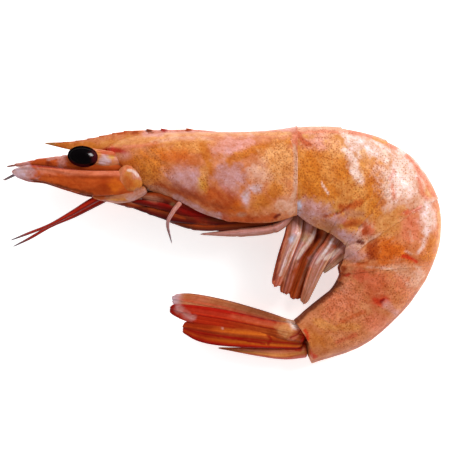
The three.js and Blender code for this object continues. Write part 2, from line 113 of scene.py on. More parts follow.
FEELERS = {
    "left": ((-30.6, 12.3, 3.3, 0.8, 0.8), (-33.9, 10.5, 3, 0.8, 0.75), (-38.2, 8, 1.8, 0.62, 0.6),
             (-44, 5, -1, 0.38, 0.4), (-49.5, 2.9, -3.8, 0.35, 0.3), (-54.3, 1.1, -6.2, 0.12, 0.12)),
    "right": ((-29.8, 11.8, 3.2, 0.85, 0.8), (-33.4, 10, 3.6, 0.85, 0.75), (-38.2, 7.4, 5, 0.62, 0.6),
              (-44, 4.8, 7.2, 0.4, 0.4), (-49.5, 1.7, 8.8, 0.35, 0.3), (-53.9, -0.5, 9.5, 0.12, 0.12)),
}
JAW_FOOT = ((-9, 8.4, 2.6, 1.1, 1), (-17, 9.6, 2.9, 1.3, 1.1), (-24, 10.6, 2.8, 1.2, 1.1),
            (-30.5, 12.1, 2.3, 0.85, 0.8), (-37, 13.2, 1.7, 0.4, 0.4))
BREAST = ((-20, 12.4, 0, 2, 3), (-9, 9, 0, 2.8, 4.2), (3, 6.4, 0, 2.8, 4.4), (15.5, 7, 0, 2, 3.6))
LEGS = (
    ((-2, 7.6, 4, 1.2, 0.8), (-9.5, 9.7, 5.2, 1.2, 0.75), (-16, 11.8, 5.1, 1.2, 0.7),
     (-22.5, 12.3, 4, 0.5, 0.4)),
    ((0.5, 6.4, 3.9, 1.1, 0.8), (-8.5, 7.9, 5, 1.15, 0.75), (-16, 10, 4.8, 1.15, 0.7),
     (-24.5, 11.1, 3.4, 0.4, 0.35)),
    ((4, 5.5, 3.9, 1, 0.9), (-5, 6.1, 4.9, 1.15, 0.8), (-12.8, 7, 4.7, 1.2, 0.7),
     (-18.4, 8.6, 3.9, 1.05, 0.65), (-25.6, 10.4, 2.4, 0.25, 0.3)),
    ((12.4, 5.4, 3.6, 1, 1), (-1, 4.7, 4.2, 1.15, 0.9), (-7.6, 4.8, 4.2, 1.05, 0.85),
     (-13, 6.2, 3.6, 0.75, 0.7), (-21, 9.4, 2.2, 0.25, 0.3)),
    ((16.6, 7.6, 4.6, 0.9, 1), (12.6, 4.3, 4.8, 1.1, 1.1), (4, 3.1, 4.4, 1, 1),
     (-6.2, 2.7, 3.4, 0.2, 0.3)),
)
HANGING_CLAW = ((-11, 10.6, 7.2, 0.6, 0.5), (-12.9, 8.2, 7.5, 0.55, 0.45), (-14.2, 5.2, 7, 0.42, 0.4),
                (-13.2, 0.5, 5.8, 0.1, 0.12))
SWIMMERETS = (
    ((17.6, 7, 3, 2.1, 1.6), (16.9, 2.6, 5, 2, 0.9), (14.8, -3.4, 5.2, 1.75, 0.5),
     (12.4, -10.5, 4.2, 1.15, 0.25)),
    ((21.2, 6.6, 2.6, 2.2, 1.6), (20.3, 2.4, 4, 2.3, 0.9), (17.3, -3.2, 4.1, 1.9, 0.5),
     (14.7, -12.4, 3.1, 1.35, 0.25)),
    ((25, 4.6, 2.2, 2.2, 1.6), (23.8, 1.2, 3, 2.2, 0.9), (20.6, -4, 3, 2.1, 0.5),
     (17, -13.7, 2.2, 1.6, 0.25)),
    ((28.2, 3, 3.4, 2, 1.6), (26.4, 0.2, 4.8, 1.8, 0.9), (23, -5.2, 4.9, 1.9, 0.5),
     (19.4, -14.8, 3.4, 1, 0.25)),
    ((31.2, 0.6, 3.4, 2.4, 1.6), (28.8, -1.5, 4.6, 2.2, 1.2), (26.4, -3.9, 4.4, 1.8, 0.7),
     (24, -6.7, 3.2, 0.9, 0.25)),
)
FAR_SWIMMERETS_OFF = (0.2, 0.3)
SWIM_AXIS, SWIM_SINK = 10, 0.35  # height of the first pair's middle plane, and how much each next pair loses
TELSON = ((20.6, -26.4, 0, 2, 2.6), (15, -27.2, 0, 1.7, 2.3), (8, -26.9, 0, 1.1, 1.5),
          (-1.6, -26, 0, 0.15, 0.25))
FAN_OUTER = {
    "left": ((20.2, -22.8, 2.4, 2, 1.5), (15.4, -21.6, 3, 2.3, 1.4), (9.8, -20.6, 3.1, 2.15, 0.7),
             (0, -18.6, 3.2, 2.35, 0.55), (-8.6, -17.2, 3.1, 2.2, 0.45), (-14, -15.9, 2.9, 1.2, 0.25)),
    "right": ((19, -21.2, 2.6, 1.8, 1.5), (15.4, -20.6, 3.4, 1.9, 1.4), (9.8, -18.9, 3.6, 2.1, 0.7),
              (0, -16.3, 3.7, 2.3, 0.55), (-8.6, -14.6, 3.6, 2.25, 0.45), (-13.6, -13.6, 3.2, 1.2, 0.25)),
}
FAN_INNER = ((19.6, -24.4, 2.3, 1.8, 0.9), (9.2, -23.2, 2.9, 2.7, 0.7), (0, -22.3, 3, 3.1, 0.55),
             (-6, -21.5, 2.9, 2.8, 0.45), (-10.8, -20.6, 2.6, 1.3, 0.25))

# ---------------------------------------------------------------- working on a mesh


def deselect():
    bpy.ops.object.select_all(action="DESELECT")


def pick(piece):
    deselect()
    piece.select_set(True)
    bpy.context.view_layer.objects.active = piece


def join_on(piece, other):
    """Makes another piece part of this one."""
    pick(piece)
    other.select_set(True)
    bpy.ops.object.join()


def close_up(piece):
    """Joins the corners that meet and turns every face outwards."""
    pick(piece)
    bpy.ops.object.mode_set(mode="EDIT")
    bpy.ops.mesh.select_all(action="SELECT")
    bpy.ops.mesh.remove_doubles(threshold=2e-6)
    bpy.ops.mesh.normals_make_consistent(inside=False)
    bpy.ops.object.mode_set(mode="OBJECT")


def read(rows, slot):
    """The vectors that a mesh keeps in one slot of its rows."""
    flat = np.empty(len(rows) * 3)
    rows.foreach_get(slot, flat)
    return flat.reshape(-1, 3)


def write(mesh, name, values):
    """Keeps a value, or a vector or colour of three, with each corner of a mesh."""
    kind, slot = {1: ("FLOAT", "value"), 3: ("FLOAT_VECTOR", "vector"), 4: ("FLOAT_COLOR", "color")}[
        1 if values.ndim == 1 else values.shape[1]]
    layer = mesh.attributes.get(name) or mesh.attributes.new(name, kind, "POINT")
    layer.data.foreach_set(slot, np.ascontiguousarray(values, dtype=np.float32).ravel())


def points_of(piece):
    """The corners of a piece in the millimetres of the lists above."""
    return read(piece.data.vertices, "co") * 1000 - SHIFT


def move_to(piece, points):
    """Puts each corner at a point, or on the table if that is below it."""
    points = points.copy()
    points[:, 2] = np.maximum(points[:, 2], 0.0)
    piece.data.vertices.foreach_set("co", ((points + SHIFT) * 0.001).ravel())
    piece.data.update()


def raise_by(piece, heights):
    """Moves each corner out along its normal by so many millimetres."""
    move_to(piece, points_of(piece) + read(piece.data.vertex_normals, "vector") * heights[:, None])


def course_of(piece):
    """How far along its piece each corner is, and its share across and out from the middle line."""
    return read(piece.data.attributes["course"].data, "vector").T


def rolled(name, around, profile, place):
    """A grid rolled into a closed form. profile lists (radius, distance along), and
    place(along, angle, radius) says where a point goes; the angle is 0 at the back."""
    deselect()
    bpy.ops.mesh.primitive_grid_add(x_subdivisions=around, y_subdivisions=len(profile) - 1, size=2)
    piece = bpy.context.object
    piece.name = piece.data.name = name
    flat = read(piece.data.vertices, "co")
    profile = np.array(profile, float)
    row = np.rint((flat[:, 1] + 1) / 2 * (len(profile) - 1)).astype(int)
    angle = (flat[:, 0] + 1) * math.pi
    radius, along = profile[row].T
    move_to(piece, place(along, angle, radius))
    write(piece.data, "course", np.stack([along, np.cos(angle), np.sin(angle)], axis=1))
    close_up(piece)
    bpy.ops.object.shade_smooth()
    return piece


def smoothstep(value, low, high):
    t = np.clip((value - low) / (high - low), 0, 1)
    return t * t * (3 - 2 * t)


def bell(value, middle, width):
    """A smooth hump that is 1 high at its middle."""
    return np.exp(-(((value - middle) / width) ** 2))


def bent(value, power):
    """A power of the size of a value, with its sign."""
    return np.sign(value) * np.abs(value) ** power


def spline(rows):
    """A smooth line through the rows, as a function of the share of its length in rows."""
    p = np.array(rows, float)
    q = np.vstack([2 * p[0] - p[1], p, 2 * p[-1] - p[-2]])

    def at(share):
        t = np.clip(np.asarray(share, float), 0, 1) * (len(p) - 1)
        i = np.minimum(t.astype(int), len(p) - 2)
        f = (t - i)[:, None]
        before, start, end, after = q[i], q[i + 1], q[i + 2], q[i + 3]
        leave, arrive = (end - before) / 2, (after - start) / 2
        return (start + leave * f + (3 * (end - start) - 2 * leave - arrive) * f**2
                + (2 * (start - end) + leave + arrive) * f**3)

    return at


def wobble(points, size, seed=0.0):
    """A smooth uneven field between about -1 and 1, with features of about size millimetres."""
    p = points * (2.4 / size)
    x, y, z = p[:, 0] + seed, p[:, 1] + seed * 1.7, p[:, 2] + seed * 0.6
    a = np.sin(x * 1.1 + 1.7 * np.sin(y * 0.7 + z * 0.3) + 0.4)
    b = np.sin(y * 1.3 + 1.3 * np.sin(x * 0.9 - z * 0.5) + 1.9)
    c = np.sin((x + y) * 1.9 + 0.9 * np.sin(z * 1.1 + x * 0.4) + 3.1)
    d = np.sin((x - y) * 2.7 + z * 1.4 + 1.1 * np.sin(y * 1.7) + 0.7)
    return (a + b + 0.7 * c + 0.5 * d) / 2.4


def off_line(points, line):
    """How far each point is from a bent line in the side view."""
    fine = spline([(x, y) for x, y in line])(np.linspace(0, 1, 6 * len(line)))
    best = np.full(len(points), 1e9)
    for start, end in zip(fine[:-1], fine[1:]):
        run = end - start
        t = np.clip((points[:, :2] - start) @ run / (run @ run), 0, 1)
        best = np.minimum(best, np.linalg.norm(points[:, :2] - start - t[:, None] * run, axis=1))
    return best


def carve(piece, strokes):
    """Presses grooves in and raises ridges: each stroke is a line, its width and its height."""
    points = points_of(piece)
    height = np.zeros(len(points))
    for line, width, high in strokes:
        height += high * bell(off_line(points, line), 0, width)
    raise_by(piece, height)


# ---------------------------------------------------------------- colouring


# The paints that every colour of the prawn is mixed from.
PAINTS = {
    "milk": "ecd4cc", "pearl": "dcbcb0", "ice": "bcb4c0", "lilac": "c4a4a8", "mauve": "b88078",
    "rose": "cc8878", "blush": "cc9478", "peach": "d09058", "salmon": "cc7050", "shell": "c47448",
    "coral": "c05434", "apricot": "c88040", "amber": "bc6820", "honey": "c08430", "orange": "c45c14",
    "burnt": "b04818", "rust": "983810", "scarlet": "c02c10", "red": "b01808", "crimson": "8c0a06",
    "wine": "64100a", "claret": "3c0810", "cocoa": "6c2c14", "clay": "ac6c50", "tan": "b88c64",
    "olive": "947448", "slate": "6c5c60", "black": "060304",
}


def linear(name):
    """The amounts of red, green and blue light that a paint reflects."""
    code = PAINTS[name]
    value = np.array([int(code[i:i + 2], 16) for i in (0, 2, 4)]) / 255
    return np.where(value <= 0.04045, value / 12.92, ((value + 0.055) / 1.055) ** 2.4)


def tinted(colour, name, share):
    """The colour of each corner, moved a share of the way to a paint."""
    return colour + (linear(name) - colour) * share[:, None]


def spot(x, y, wide, high, colour, turn=0, strength=1.0, soft=0.8):
    """An uneven oval of colour."""
    cos, sin = math.cos(math.radians(turn)), math.sin(math.radians(turn))

    def mask(points, ragged):
        dx, dy = points[:, 0] - x, points[:, 1] - y
        far = np.hypot((dx * cos + dy * sin) / wide, (dy * cos - dx * sin) / high) + 0.3 * ragged
        return smoothstep(-far, -1 - soft / 2, -1 + soft / 2)

    return mask, colour, strength


def streak(line, width, colour, strength=1.0, soft=1.0):
    """A stroke of colour along a bent line."""

    def mask(points, ragged):
        far = off_line(points, line) / width + 0.36 * ragged
        return smoothstep(-far, -1 - soft / 2, -1 + soft / 2)

    return mask, colour, strength


def paint(piece, ground, marks=(), specks=(), ragged=2.6, blush=0.0):
    """Lays marks on a ground colour, and notes how thickly the skin is specked, in ovals given as
    (x, y, wide, high, turn, strength). blush is how much the pigment comes and goes in patches,
    between rosy and orange."""
    points = points_of(piece)
    edge = (wobble(points, ragged, 3.0) + 0.7 * wobble(points, ragged * 0.42, 8.0)
            + 0.4 * wobble(points, 0.5, 5.0))
    colour = linear(ground) if isinstance(ground, str) else ground
    colour = np.broadcast_to(colour, (len(points), 3)).copy()
    for mask, name, strength in marks:
        colour = tinted(colour, name, mask(points, edge) * strength)
    patch = 0.6 * wobble(points, 4.0, 11.0) + 0.5 * wobble(points, 1.6, 2.0) + 0.3 * wobble(points, 0.8, 6.0)
    rosy, deep = np.clip(patch, 0, 1)[:, None], np.clip(-patch, 0, 1)[:, None]
    colour *= 1 + blush * (rosy * (0.18, 0.5, 1.0) - deep * (0.16, 0.34, 0.6))
    thick = np.zeros(len(points))
    for x, y, wide, high, turn, strength in specks:
        mask, _, _ = spot(x, y, wide, high, None, turn)
        thick = np.maximum(thick, mask(points, edge) * strength)
    write(piece.data, "paint", np.hstack([colour, np.ones((len(points), 1))]))
    write(piece.data, "specks", thick)


def banded(value, stops):
    """A colour for each value, between the colours of the stops on either side of it."""
    at = [stop for stop, _ in stops]
    tints = np.array([linear(name) for _, name in stops])
    return np.stack([np.interp(value, at, tints[:, i]) for i in range(3)], axis=1)


# ---------------------------------------------------------------- finishes


# How pigment changes the paint that it lies in: its share of red, green and blue, and 1.
MOTTLE_DEEP, MOTTLE_PALE = (0.76, 0.55, 0.38, 1), (1.16, 1.36, 1.6, 1)
FIBRE_DEEP, FIBRE_PALE = (0.7, 0.55, 0.48, 1), (1.2, 1.35, 1.45, 1)
SPECK_DARK, NET_BRIGHT = (0.68, 0.42, 0.24, 1), (1.28, 1.32, 1.2, 1)


def feed(tree, made, inputs):
    """Gives inputs of a node their values, or links them to the sockets that hold them."""
    for socket, value in dict(inputs).items():
        if isinstance(value, bpy.types.NodeSocket):
            tree.links.new(value, made.inputs[socket])
        else:
            made.inputs[socket].default_value = value
    return made


def node(tree, kind, inputs=(), **settings):
    made = tree.nodes.new(kind)
    for name, value in settings.items():
        setattr(made, name, value)
    return feed(tree, made, inputs)


def math_node(tree, operation, first, second=0.0, third=0.0, clamp=False):
    inputs = {0: first, 1: second, 2: third}
    return node(tree, "ShaderNodeMath", inputs, operation=operation, use_clamp=clamp).outputs[0]


def blend_node(tree, share, first, second, mode="MIX"):
    inputs = {0: share, 6: first, 7: second}
    return node(tree, "ShaderNodeMix", inputs, data_type="RGBA", blend_type=mode).outputs[2]


def group_of(name, sockets_in, sockets_out):
    """A new node group, the sockets that it is given and those that it puts out."""
    kinds = {"vector": "NodeSocketVector", "value": "NodeSocketFloat", "colour": "NodeSocketColor"}
    group = bpy.data.node_groups.new(name, "ShaderNodeTree")
    for label, kind in sockets_in:
        group.interface.new_socket(label, in_out="INPUT", socket_type=kinds[kind])
    for label, kind in sockets_out:
        group.interface.new_socket(label, in_out="OUTPUT", socket_type=kinds[kind])
    return group, group.nodes.new("NodeGroupInput").outputs, group.nodes.new("NodeGroupOutput").inputs


def specks_group():
    """Pigment cells close together, darker than the skin, and the brighter net between them."""
    group, given, out = group_of(
        "Pigment specks", (("Vector", "vector"), ("Spacing", "value"), ("Thickness", "value")),
        (("Mask", "value"), ("Net", "value")))
    scale = math_node(group, "DIVIDE", 1.0, given["Spacing"])
    cells = node(group, "ShaderNodeTexVoronoi",
                 {"Vector": given["Vector"], "Scale": scale, "Randomness": 0.85})
    far = cells.outputs["Distance"]
    chance = node(group, "ShaderNodeSeparateColor", {"Color": cells.outputs["Color"]})
    reach = math_node(group, "MULTIPLY_ADD", chance.outputs["Red"], 0.2, 0.32)
    dot = math_node(group, "MULTIPLY", math_node(group, "SUBTRACT", reach, far), 6.0, clamp=True)
    there = math_node(group, "MULTIPLY_ADD", given["Thickness"], 1.3, -0.15, clamp=True)
    kept = math_node(group, "GREATER_THAN", there, chance.outputs["Green"])
    depth = math_node(group, "MULTIPLY_ADD", chance.outputs["Blue"], 0.6, 0.4)
    group.links.new(math_node(group, "MULTIPLY", math_node(group, "MULTIPLY", dot, kept), depth), out["Mask"])
    net = math_node(group, "MULTIPLY_ADD", far, 4.0, -1.7, clamp=True)
    group.links.new(math_node(group, "MULTIPLY", net, there), out["Net"])
    return group


def mottle_group():
    """Uneven pigment: patches that are paler and rosier, and patches that are deeper."""
    group, given, out = group_of(
        "Mottle", (("Vector", "vector"), ("Colour", "colour"), ("Amount", "value")), (("Colour", "colour"),))
    broad = node(group, "ShaderNodeTexNoise", {"Vector": given["Vector"], "Scale": 420.0, "Detail": 4.0,
                                               "Roughness": 0.62, "Distortion": 0.6})
    fine = node(group, "ShaderNodeTexNoise", {"Vector": given["Vector"], "Scale": 1900.0, "Detail": 2.0})
    both = math_node(group, "MULTIPLY_ADD", fine.outputs["Fac"], 0.5, broad.outputs["Fac"])
    share = math_node(group, "MULTIPLY_ADD", both, 2.6, -1.45, clamp=True)
    tint = blend_node(group, share, MOTTLE_DEEP, MOTTLE_PALE)
    changed = blend_node(group, 1.0, given["Colour"], tint, "MULTIPLY")
    group.links.new(blend_node(group, given["Amount"], given["Colour"], changed), out["Colour"])
    return group


def fibres_group():
    """Streaks that run the length of a limb, from its own course."""
    group, given, out = group_of(
        "Fibres", (("Course", "vector"), ("Count", "value"), ("Stretch", "value")), (("Streak", "value"),))
    part = node(group, "ShaderNodeSeparateXYZ", {0: given["Course"]})
    along = math_node(group, "MULTIPLY", part.outputs["X"], given["Stretch"])
    across = math_node(group, "MULTIPLY", part.outputs["Y"], given["Count"])
    round_it = math_node(group, "MULTIPLY", part.outputs["Z"], given["Count"])
    place = node(group, "ShaderNodeCombineXYZ", {0: along, 1: across, 2: round_it})
    noise = node(group, "ShaderNodeTexNoise", {"Vector": place.outputs[0], "Scale": 1.0, "Detail": 3.0,
                                               "Roughness": 0.55})
    group.links.new(math_node(group, "MULTIPLY_ADD", noise.outputs["Fac"], 3.2, -1.1, clamp=True),
                    out["Streak"])
    return group


GROUPS = {"specks": specks_group(), "mottle": mottle_group(), "fibres": fibres_group()}


def placed_group(tree, name, inputs):
    return node(tree, "ShaderNodeGroup", inputs, node_tree=GROUPS[name]).outputs


def skin(name, mottle, gloss, depth, fibres=None, speck=None, pits=0.00003, coat=0.2, shine=0.12,
         fade=(0.25, 0.8)):
    """A wet skin. gloss is its lowest and highest roughness, depth how much light sinks in, fibres its
    (count, stretch, strength) and speck its (spacing in metres, strength). pits is how deep its relief is
    in metres, coat how strong the wet film, shine its own shine, and fade where the film ends at the rim."""
    material = bpy.data.materials.new(name)
    material.use_nodes = True
    tree = material.node_tree
    shader = tree.nodes["Principled BSDF"]
    place = node(tree, "ShaderNodeTexCoord").outputs["Object"]
    colour = node(tree, "ShaderNodeAttribute", attribute_name="paint").outputs["Color"]
    colour = placed_group(tree, "mottle", {"Vector": place, "Colour": colour, "Amount": mottle})["Colour"]
    height = node(tree, "ShaderNodeTexNoise",
                  {"Vector": place, "Scale": 2600.0, "Detail": 3.0}).outputs["Fac"]
    if fibres:
        count, stretch, strength = fibres
        course = node(tree, "ShaderNodeAttribute", attribute_name="course").outputs["Vector"]
        fibre = placed_group(tree, "fibres", {"Course": course, "Count": count, "Stretch": stretch})["Streak"]
        tint = blend_node(tree, fibre, FIBRE_DEEP, FIBRE_PALE)
        changed = blend_node(tree, 1.0, colour, tint, "MULTIPLY")
        colour = blend_node(tree, strength, colour, changed)
        height = math_node(tree, "MULTIPLY_ADD", fibre, 1.5, height)
    if speck:
        spacing, strength = speck
        thick = node(tree, "ShaderNodeAttribute", attribute_name="specks").outputs["Fac"]
        cells = placed_group(tree, "specks", {"Vector": place, "Spacing": spacing, "Thickness": thick})
        bright = blend_node(tree, 1.0, colour, NET_BRIGHT, "MULTIPLY")
        dark = blend_node(tree, 1.0, colour, SPECK_DARK, "MULTIPLY")
        colour = blend_node(tree, math_node(tree, "MULTIPLY", cells["Net"], 0.7 * strength), colour, bright)
        colour = blend_node(tree, math_node(tree, "MULTIPLY", cells["Mask"], strength), colour, dark)
        height = math_node(tree, "MULTIPLY_ADD", cells["Mask"], -0.6, height)
    damp = node(tree, "ShaderNodeTexNoise", {"Vector": place, "Scale": 260.0, "Detail": 3.0}).outputs["Fac"]
    rough = node(tree, "ShaderNodeMapRange", {"Value": damp, "From Min": 0.3, "From Max": 0.7,
                                              "To Min": gloss[0], "To Max": gloss[1]}).outputs[0]
    bump = node(tree, "ShaderNodeBump", {"Height": height, "Strength": 1.0, "Distance": pits}).outputs[0]
    feed(tree, shader, {
        "Base Color": colour, "Roughness": rough, "Normal": bump,
        "Subsurface Weight": depth, "Subsurface Radius": (1.0, 0.35, 0.2), "Subsurface Scale": 0.0009,
        "Specular IOR Level": shine, "Specular Tint": (1, 0.6, 0.45, 1), "Coat Roughness": 0.14})
    # the wet film shows where it is seen face on, and not as a pale rim
    rim = node(tree, "ShaderNodeLayerWeight", {"Blend": 0.5}).outputs["Facing"]
    film = node(tree, "ShaderNodeMapRange", {"Value": rim, "From Min": fade[0], "From Max": fade[1],
                                             "To Min": coat, "To Max": 0.0}).outputs[0]
    feed(tree, shader, {"Coat Weight": film})
    return material


SHELL = skin("Specked shell", 0.75, (0.3, 0.5), 0.16, speck=(0.0005, 0.9), pits=0.00005)
HORN = skin("Face horn", 0.5, (0.28, 0.45), 0.12, fibres=(2.2, 9.0, 0.35), speck=(0.0006, 0.7))
PALE_LIMB = skin("Pale limb", 0.4, (0.28, 0.45), 0.2, fibres=(5.5, 3.0, 0.75), coat=0.3)
DARK_LIMB = skin("Dark limb", 0.35, (0.32, 0.5), 0.06, fibres=(3.0, 5.0, 0.7))
FAN = skin("Fan blade", 0.5, (0.3, 0.45), 0.08, fibres=(6.5, 3.0, 0.6))
EYE_BLACK = skin("Eye", 0.4, (0.2, 0.3), 0.0, coat=0.8, pits=0.00001, shine=0.0, fade=(0.1, 0.4))


def finished(piece, material, slot, *nodes):
    piece.data.materials.append(material)
    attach(piece, "root")
    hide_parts(*nodes)


# ---------------------------------------------------------------- shells


def ring(angle, squareness, hollow):
    """An upright egg, squared a little, with a hollow between the lower edges of its side plates."""
    cos, sin = np.cos(angle), np.sin(angle)
    up, side = bent(cos, 2 / squareness), bent(sin, 2 / squareness)
    under = smoothstep(-cos, 0.78, 1)
    return np.where(cos > 0, up, up * 1.2 + hollow * under), side * (1 - 0.1 * cos)


def body(sections, squareness, hollow):
    """A place for each station along the sections, turn and share of the radius."""
    back = spline([(s[0], s[1], 0) for s in sections])
    belly = spline([(s[2], s[3], 0) for s in sections])
    size = spline([(s[4], s[5]) for s in sections])
    last = len(sections) - 1

    def at(station, angle, radius):
        top, bottom = back(station / last), belly(station / last)
        width, middle = size(station / last).T
        up, side = ring(angle, squareness, hollow)
        point = (top + bottom) / 2 + (top - bottom) / 2 * (up * radius)[:, None]
        point[:, 2] = middle + side * radius * width
        return point

    return at


head_body = body(HEAD_SECTIONS, 2.25, 0.34)
tail_body = body(TAIL_SECTIONS, 2.3, 0.36)


def tail_place(station, angle, radius):
    """Places the rings, whose rims bulge back at the sides, and their necks inside the head shield."""
    rim = np.clip((station / PER_SEGMENT).astype(int), 0, SEGMENTS - 1)
    past = smoothstep(station / PER_SEGMENT - rim, 0, 1)
    bulge = np.array(RIM_BULGE)
    bulge = bulge[rim] + (bulge[rim + 1] - bulge[rim]) * past
    in_tail = tail_body(np.maximum(station, 0) + bulge * np.sin(angle) ** 2, angle, radius)
    in_head = head_body(len(HEAD_SECTIONS) - 1 + station * HEAD_STEP, angle, radius)
    return np.where((station < 0)[:, None], in_head, in_tail)


def head_shell():
    """The head shield, with a round nose and a thickened hind rim."""
    rear = len(HEAD_SECTIONS) - 1
    profile = [(0, 0.03), (0.2, 0.02), (0.4, 0.012), (0.55, 0.006), (0.68, 0.002), (0.78, 0), (0.86, 0.02),
               (0.91, 0.06), (0.95, 0.12), (0.968, 0.2), (0.98, 0.3), (0.99, 0.42), (0.997, 0.5)]
    profile += [(1, station) for station in np.arange(0.58, rear - 0.1, 0.052)]
    profile += [(1.004, rear - 0.08), (1.012, rear - 0.05), (1.014, rear - 0.02), (1.008, rear - 0.003),
                (0.995, rear + 0.002), (0.98, rear), (0.97, rear - 0.1)]
    profile += [(radius, rear - HEAD_STEP * TUCK_ROOM) for radius in (0.9, 0)]
    return rolled("Head_shield", 200, profile, head_body)


def saw_blade():
    """The thin upright blade on the forehead, toothed along its crest."""
    fine = spline(SAW_TOP)(np.linspace(0, 1, 400))
    low = spline(SAW_UNDER)(np.linspace(0, 1, 400))
    first, last = SAW_TOP[0][0], SAW_TOP[-1][0]

    def place(along, angle, radius):
        crest = np.interp(along, fine[:, 0], fine[:, 1])
        under = np.interp(along, low[:, 0], low[:, 1])
        tooth, lean = np.zeros(len(along)), np.zeros(len(along))
        for x, high in SAW_TEETH:
            start, peak, end = x - 0.42 * TOOTH_LENGTH, x - 0.3 * TOOTH_LENGTH, x + 0.65 * TOOTH_LENGTH
            rise = high * np.interp(along, (start, peak, end), (0, 1, 0))
            tooth, lean = tooth + rise, lean - 0.25 * TOOTH_LENGTH * (rise / high) ** 2
        share = ((1 + np.cos(angle)) / 2) ** 0.85
        y = under + (crest - under) * share + tooth * smoothstep(share, 0.82, 1)
        depth = np.clip((crest - y + 1.2) / 4, 0.12, 1)
        thick = 0.12 + 1.7 * np.clip((along - first) / 16, 0, 1) * depth
        side = bent(np.sin(angle), 0.6)
        middle = (crest + under) / 2
        return np.stack([along + lean * smoothstep(share, 0.82, 1) * radius,
                         middle + (y - middle) * radius, AXIS + side * thick * radius], axis=1)

    profile = [(0, first)] + [(1, x) for x in np.linspace(first + 0.02, last - 0.02, 380)] + [(0, last)]
    return rolled("Forehead_saw", 36, profile, place)


def tail_ring(segment):
    """One ring of the tail, from inside the shell before it to its own hind rim."""
    front, rear = segment * PER_SEGMENT, (segment + 1) * PER_SEGMENT
    neck = 1 - 1.15 * LIP
    sunk = STEP_IN[segment]
    profile = [(radius, front - TUCK) for radius in (0, neck * 0.6, neck * 0.9)]
    profile += [(neck, front - 0.6 * TUCK), (neck + 0.02, front - 0.1), (1 - 0.016 * sunk, front)]
    for share in np.linspace(0.02, 0.955, 56):
        swell = np.interp(share, (0.02, 0.1, 0.3, 0.5, 0.7, 0.88, 0.955),
                          (1 - 0.016 * sunk, 1 - 0.012 * sunk, 1 - 0.006 * sunk, 1.000, 1.003, 1.003, 1.004))
        profile.append((swell, front + share * PER_SEGMENT))
    lift = 0.008 * STEP_IN[min(segment + 1, SEGMENTS - 1)] if segment < SEGMENTS - 1 else 0.008
    profile += [(1.003 + lift * 0.4, rear - 0.07), (1.003 + lift * 0.9, rear - 0.04),
                (1.003 + lift, rear - 0.015),
                (1.003 + lift * 0.4, rear)]
    if segment == SEGMENTS - 1:
        profile += [(0.97, rear + 0.004), (0.8, rear), (0.4, rear), (0, rear)]
    else:
        profile += [(0.993, rear + 0.002), (0.98, rear), (0.97, rear - 0.1),
                    (0.9, rear - TUCK_ROOM), (0, rear - TUCK_ROOM)]
    return rolled(f"Tail_shell_{segment + 1}", 168, profile, tail_place)


# ---------------------------------------------------------------- limbs


CAP = 0.04  # share of a limb's length that its round end takes


def limb(name, rows, middle, side, around, along, squareness=2.0, ragged=0.0):
    """A round-ended limb along its rows, oval at its root. A squareness under 2 makes the rest a blade
    that thins to its edges, and ragged sets its tip back unevenly, by so many millimetres."""
    line = spline([(x, y, middle + side * z) for x, y, z, _, _ in rows])
    size = spline([(depth, breadth) for _, _, _, depth, breadth in rows])

    def place(share, angle, radius):
        ahead = line(share + 1e-3) - line(share - 1e-3)
        ahead /= np.linalg.norm(ahead, axis=1)[:, None]
        across = np.cross((0, 0, 1), ahead)
        across /= np.linalg.norm(across, axis=1)[:, None]
        out = np.cross(ahead, across)
        depth, breadth = size(share).T
        cos, sin = np.cos(angle), np.sin(angle)
        power = 2 / (2 + (squareness - 2) * smoothstep(share, 0.15, 0.4))
        wide, thick = bent(cos, power) * radius, bent(sin, power) * radius
        lobes = 0.5 + 0.3 * np.sin(wide * 5 + rows[0][0]) + 0.2 * np.sin(wide * 12 + rows[0][1])
        back = ragged * lobes * smoothstep(share, 0.82, 1)
        return (line(share) + across * (wide * depth)[:, None] + out * (thick * breadth)[:, None]
                - ahead * back[:, None])

    profile = [(0, 0), (0.5, 0.003), (0.8, 0.01), (0.93, 0.022)]
    profile += [(1, share) for share in np.linspace(CAP, 1 - CAP, along)]
    for turn in (20, 38, 54, 68, 80):
        profile.append((math.cos(math.radians(turn)), 1 - CAP * (1 - math.sin(math.radians(turn)))))
    profile.append((0, 1))
    return rolled(name, around, profile, place)


def jointed(piece, rows, depth=0.1):
    """Swells a limb at its knees, with a crease before each."""
    share, _, _ = course_of(piece)
    height = np.zeros(len(share))
    for i in range(1, len(rows) - 1):
        past = share - i / (len(rows) - 1)
        height += depth * bell(past, 0, 0.03) - depth * bell(past, 0.035, 0.012)
    raise_by(piece, height)


# ---------------------------------------------------------------- the head

CREASES_HEAD = (
    (((-16, 27), (-6, 27.2), (4, 27.1), (15.5, 27.6)), 0.35, -0.14),
    (((-29.5, 24.3), (-24, 24.2), (-16, 24.9), (-8, 25.6)), 0.45, 0.16),
    (((-20.5, 24.2), (-18.5, 22), (-14.5, 19.6), (-9.5, 20.2), (-6.2, 22)), 0.6, -0.22),
    (((-14.8, 17.8), (-10, 19.2), (-5.4, 19), (-1, 21.6), (4, 21)), 0.5, -0.2),
    (((-14, 14.6), (-8.8, 12.2), (-2.8, 9.4), (3, 8.6), (8, 9.6)), 0.6, -0.22),
    (((-12.2, 11.6), (-7.6, 9.2), (-3.6, 7.2), (1.5, 5.9)), 0.55, 0.26),
    (((0.5, 6.4), (6, 5.9), (12, 6.4), (16.4, 8.6)), 0.5, 0.2),
    (((-5.2, 19), (-4.6, 15), (-2, 12.4)), 0.5, -0.14),
    (((6, 19.5), (7.2, 15), (5.6, 11)), 0.8, -0.12),
    (((16.2, 27), (17.1, 22), (16.8, 14), (15.8, 9.4)), 0.3, -0.12),
)

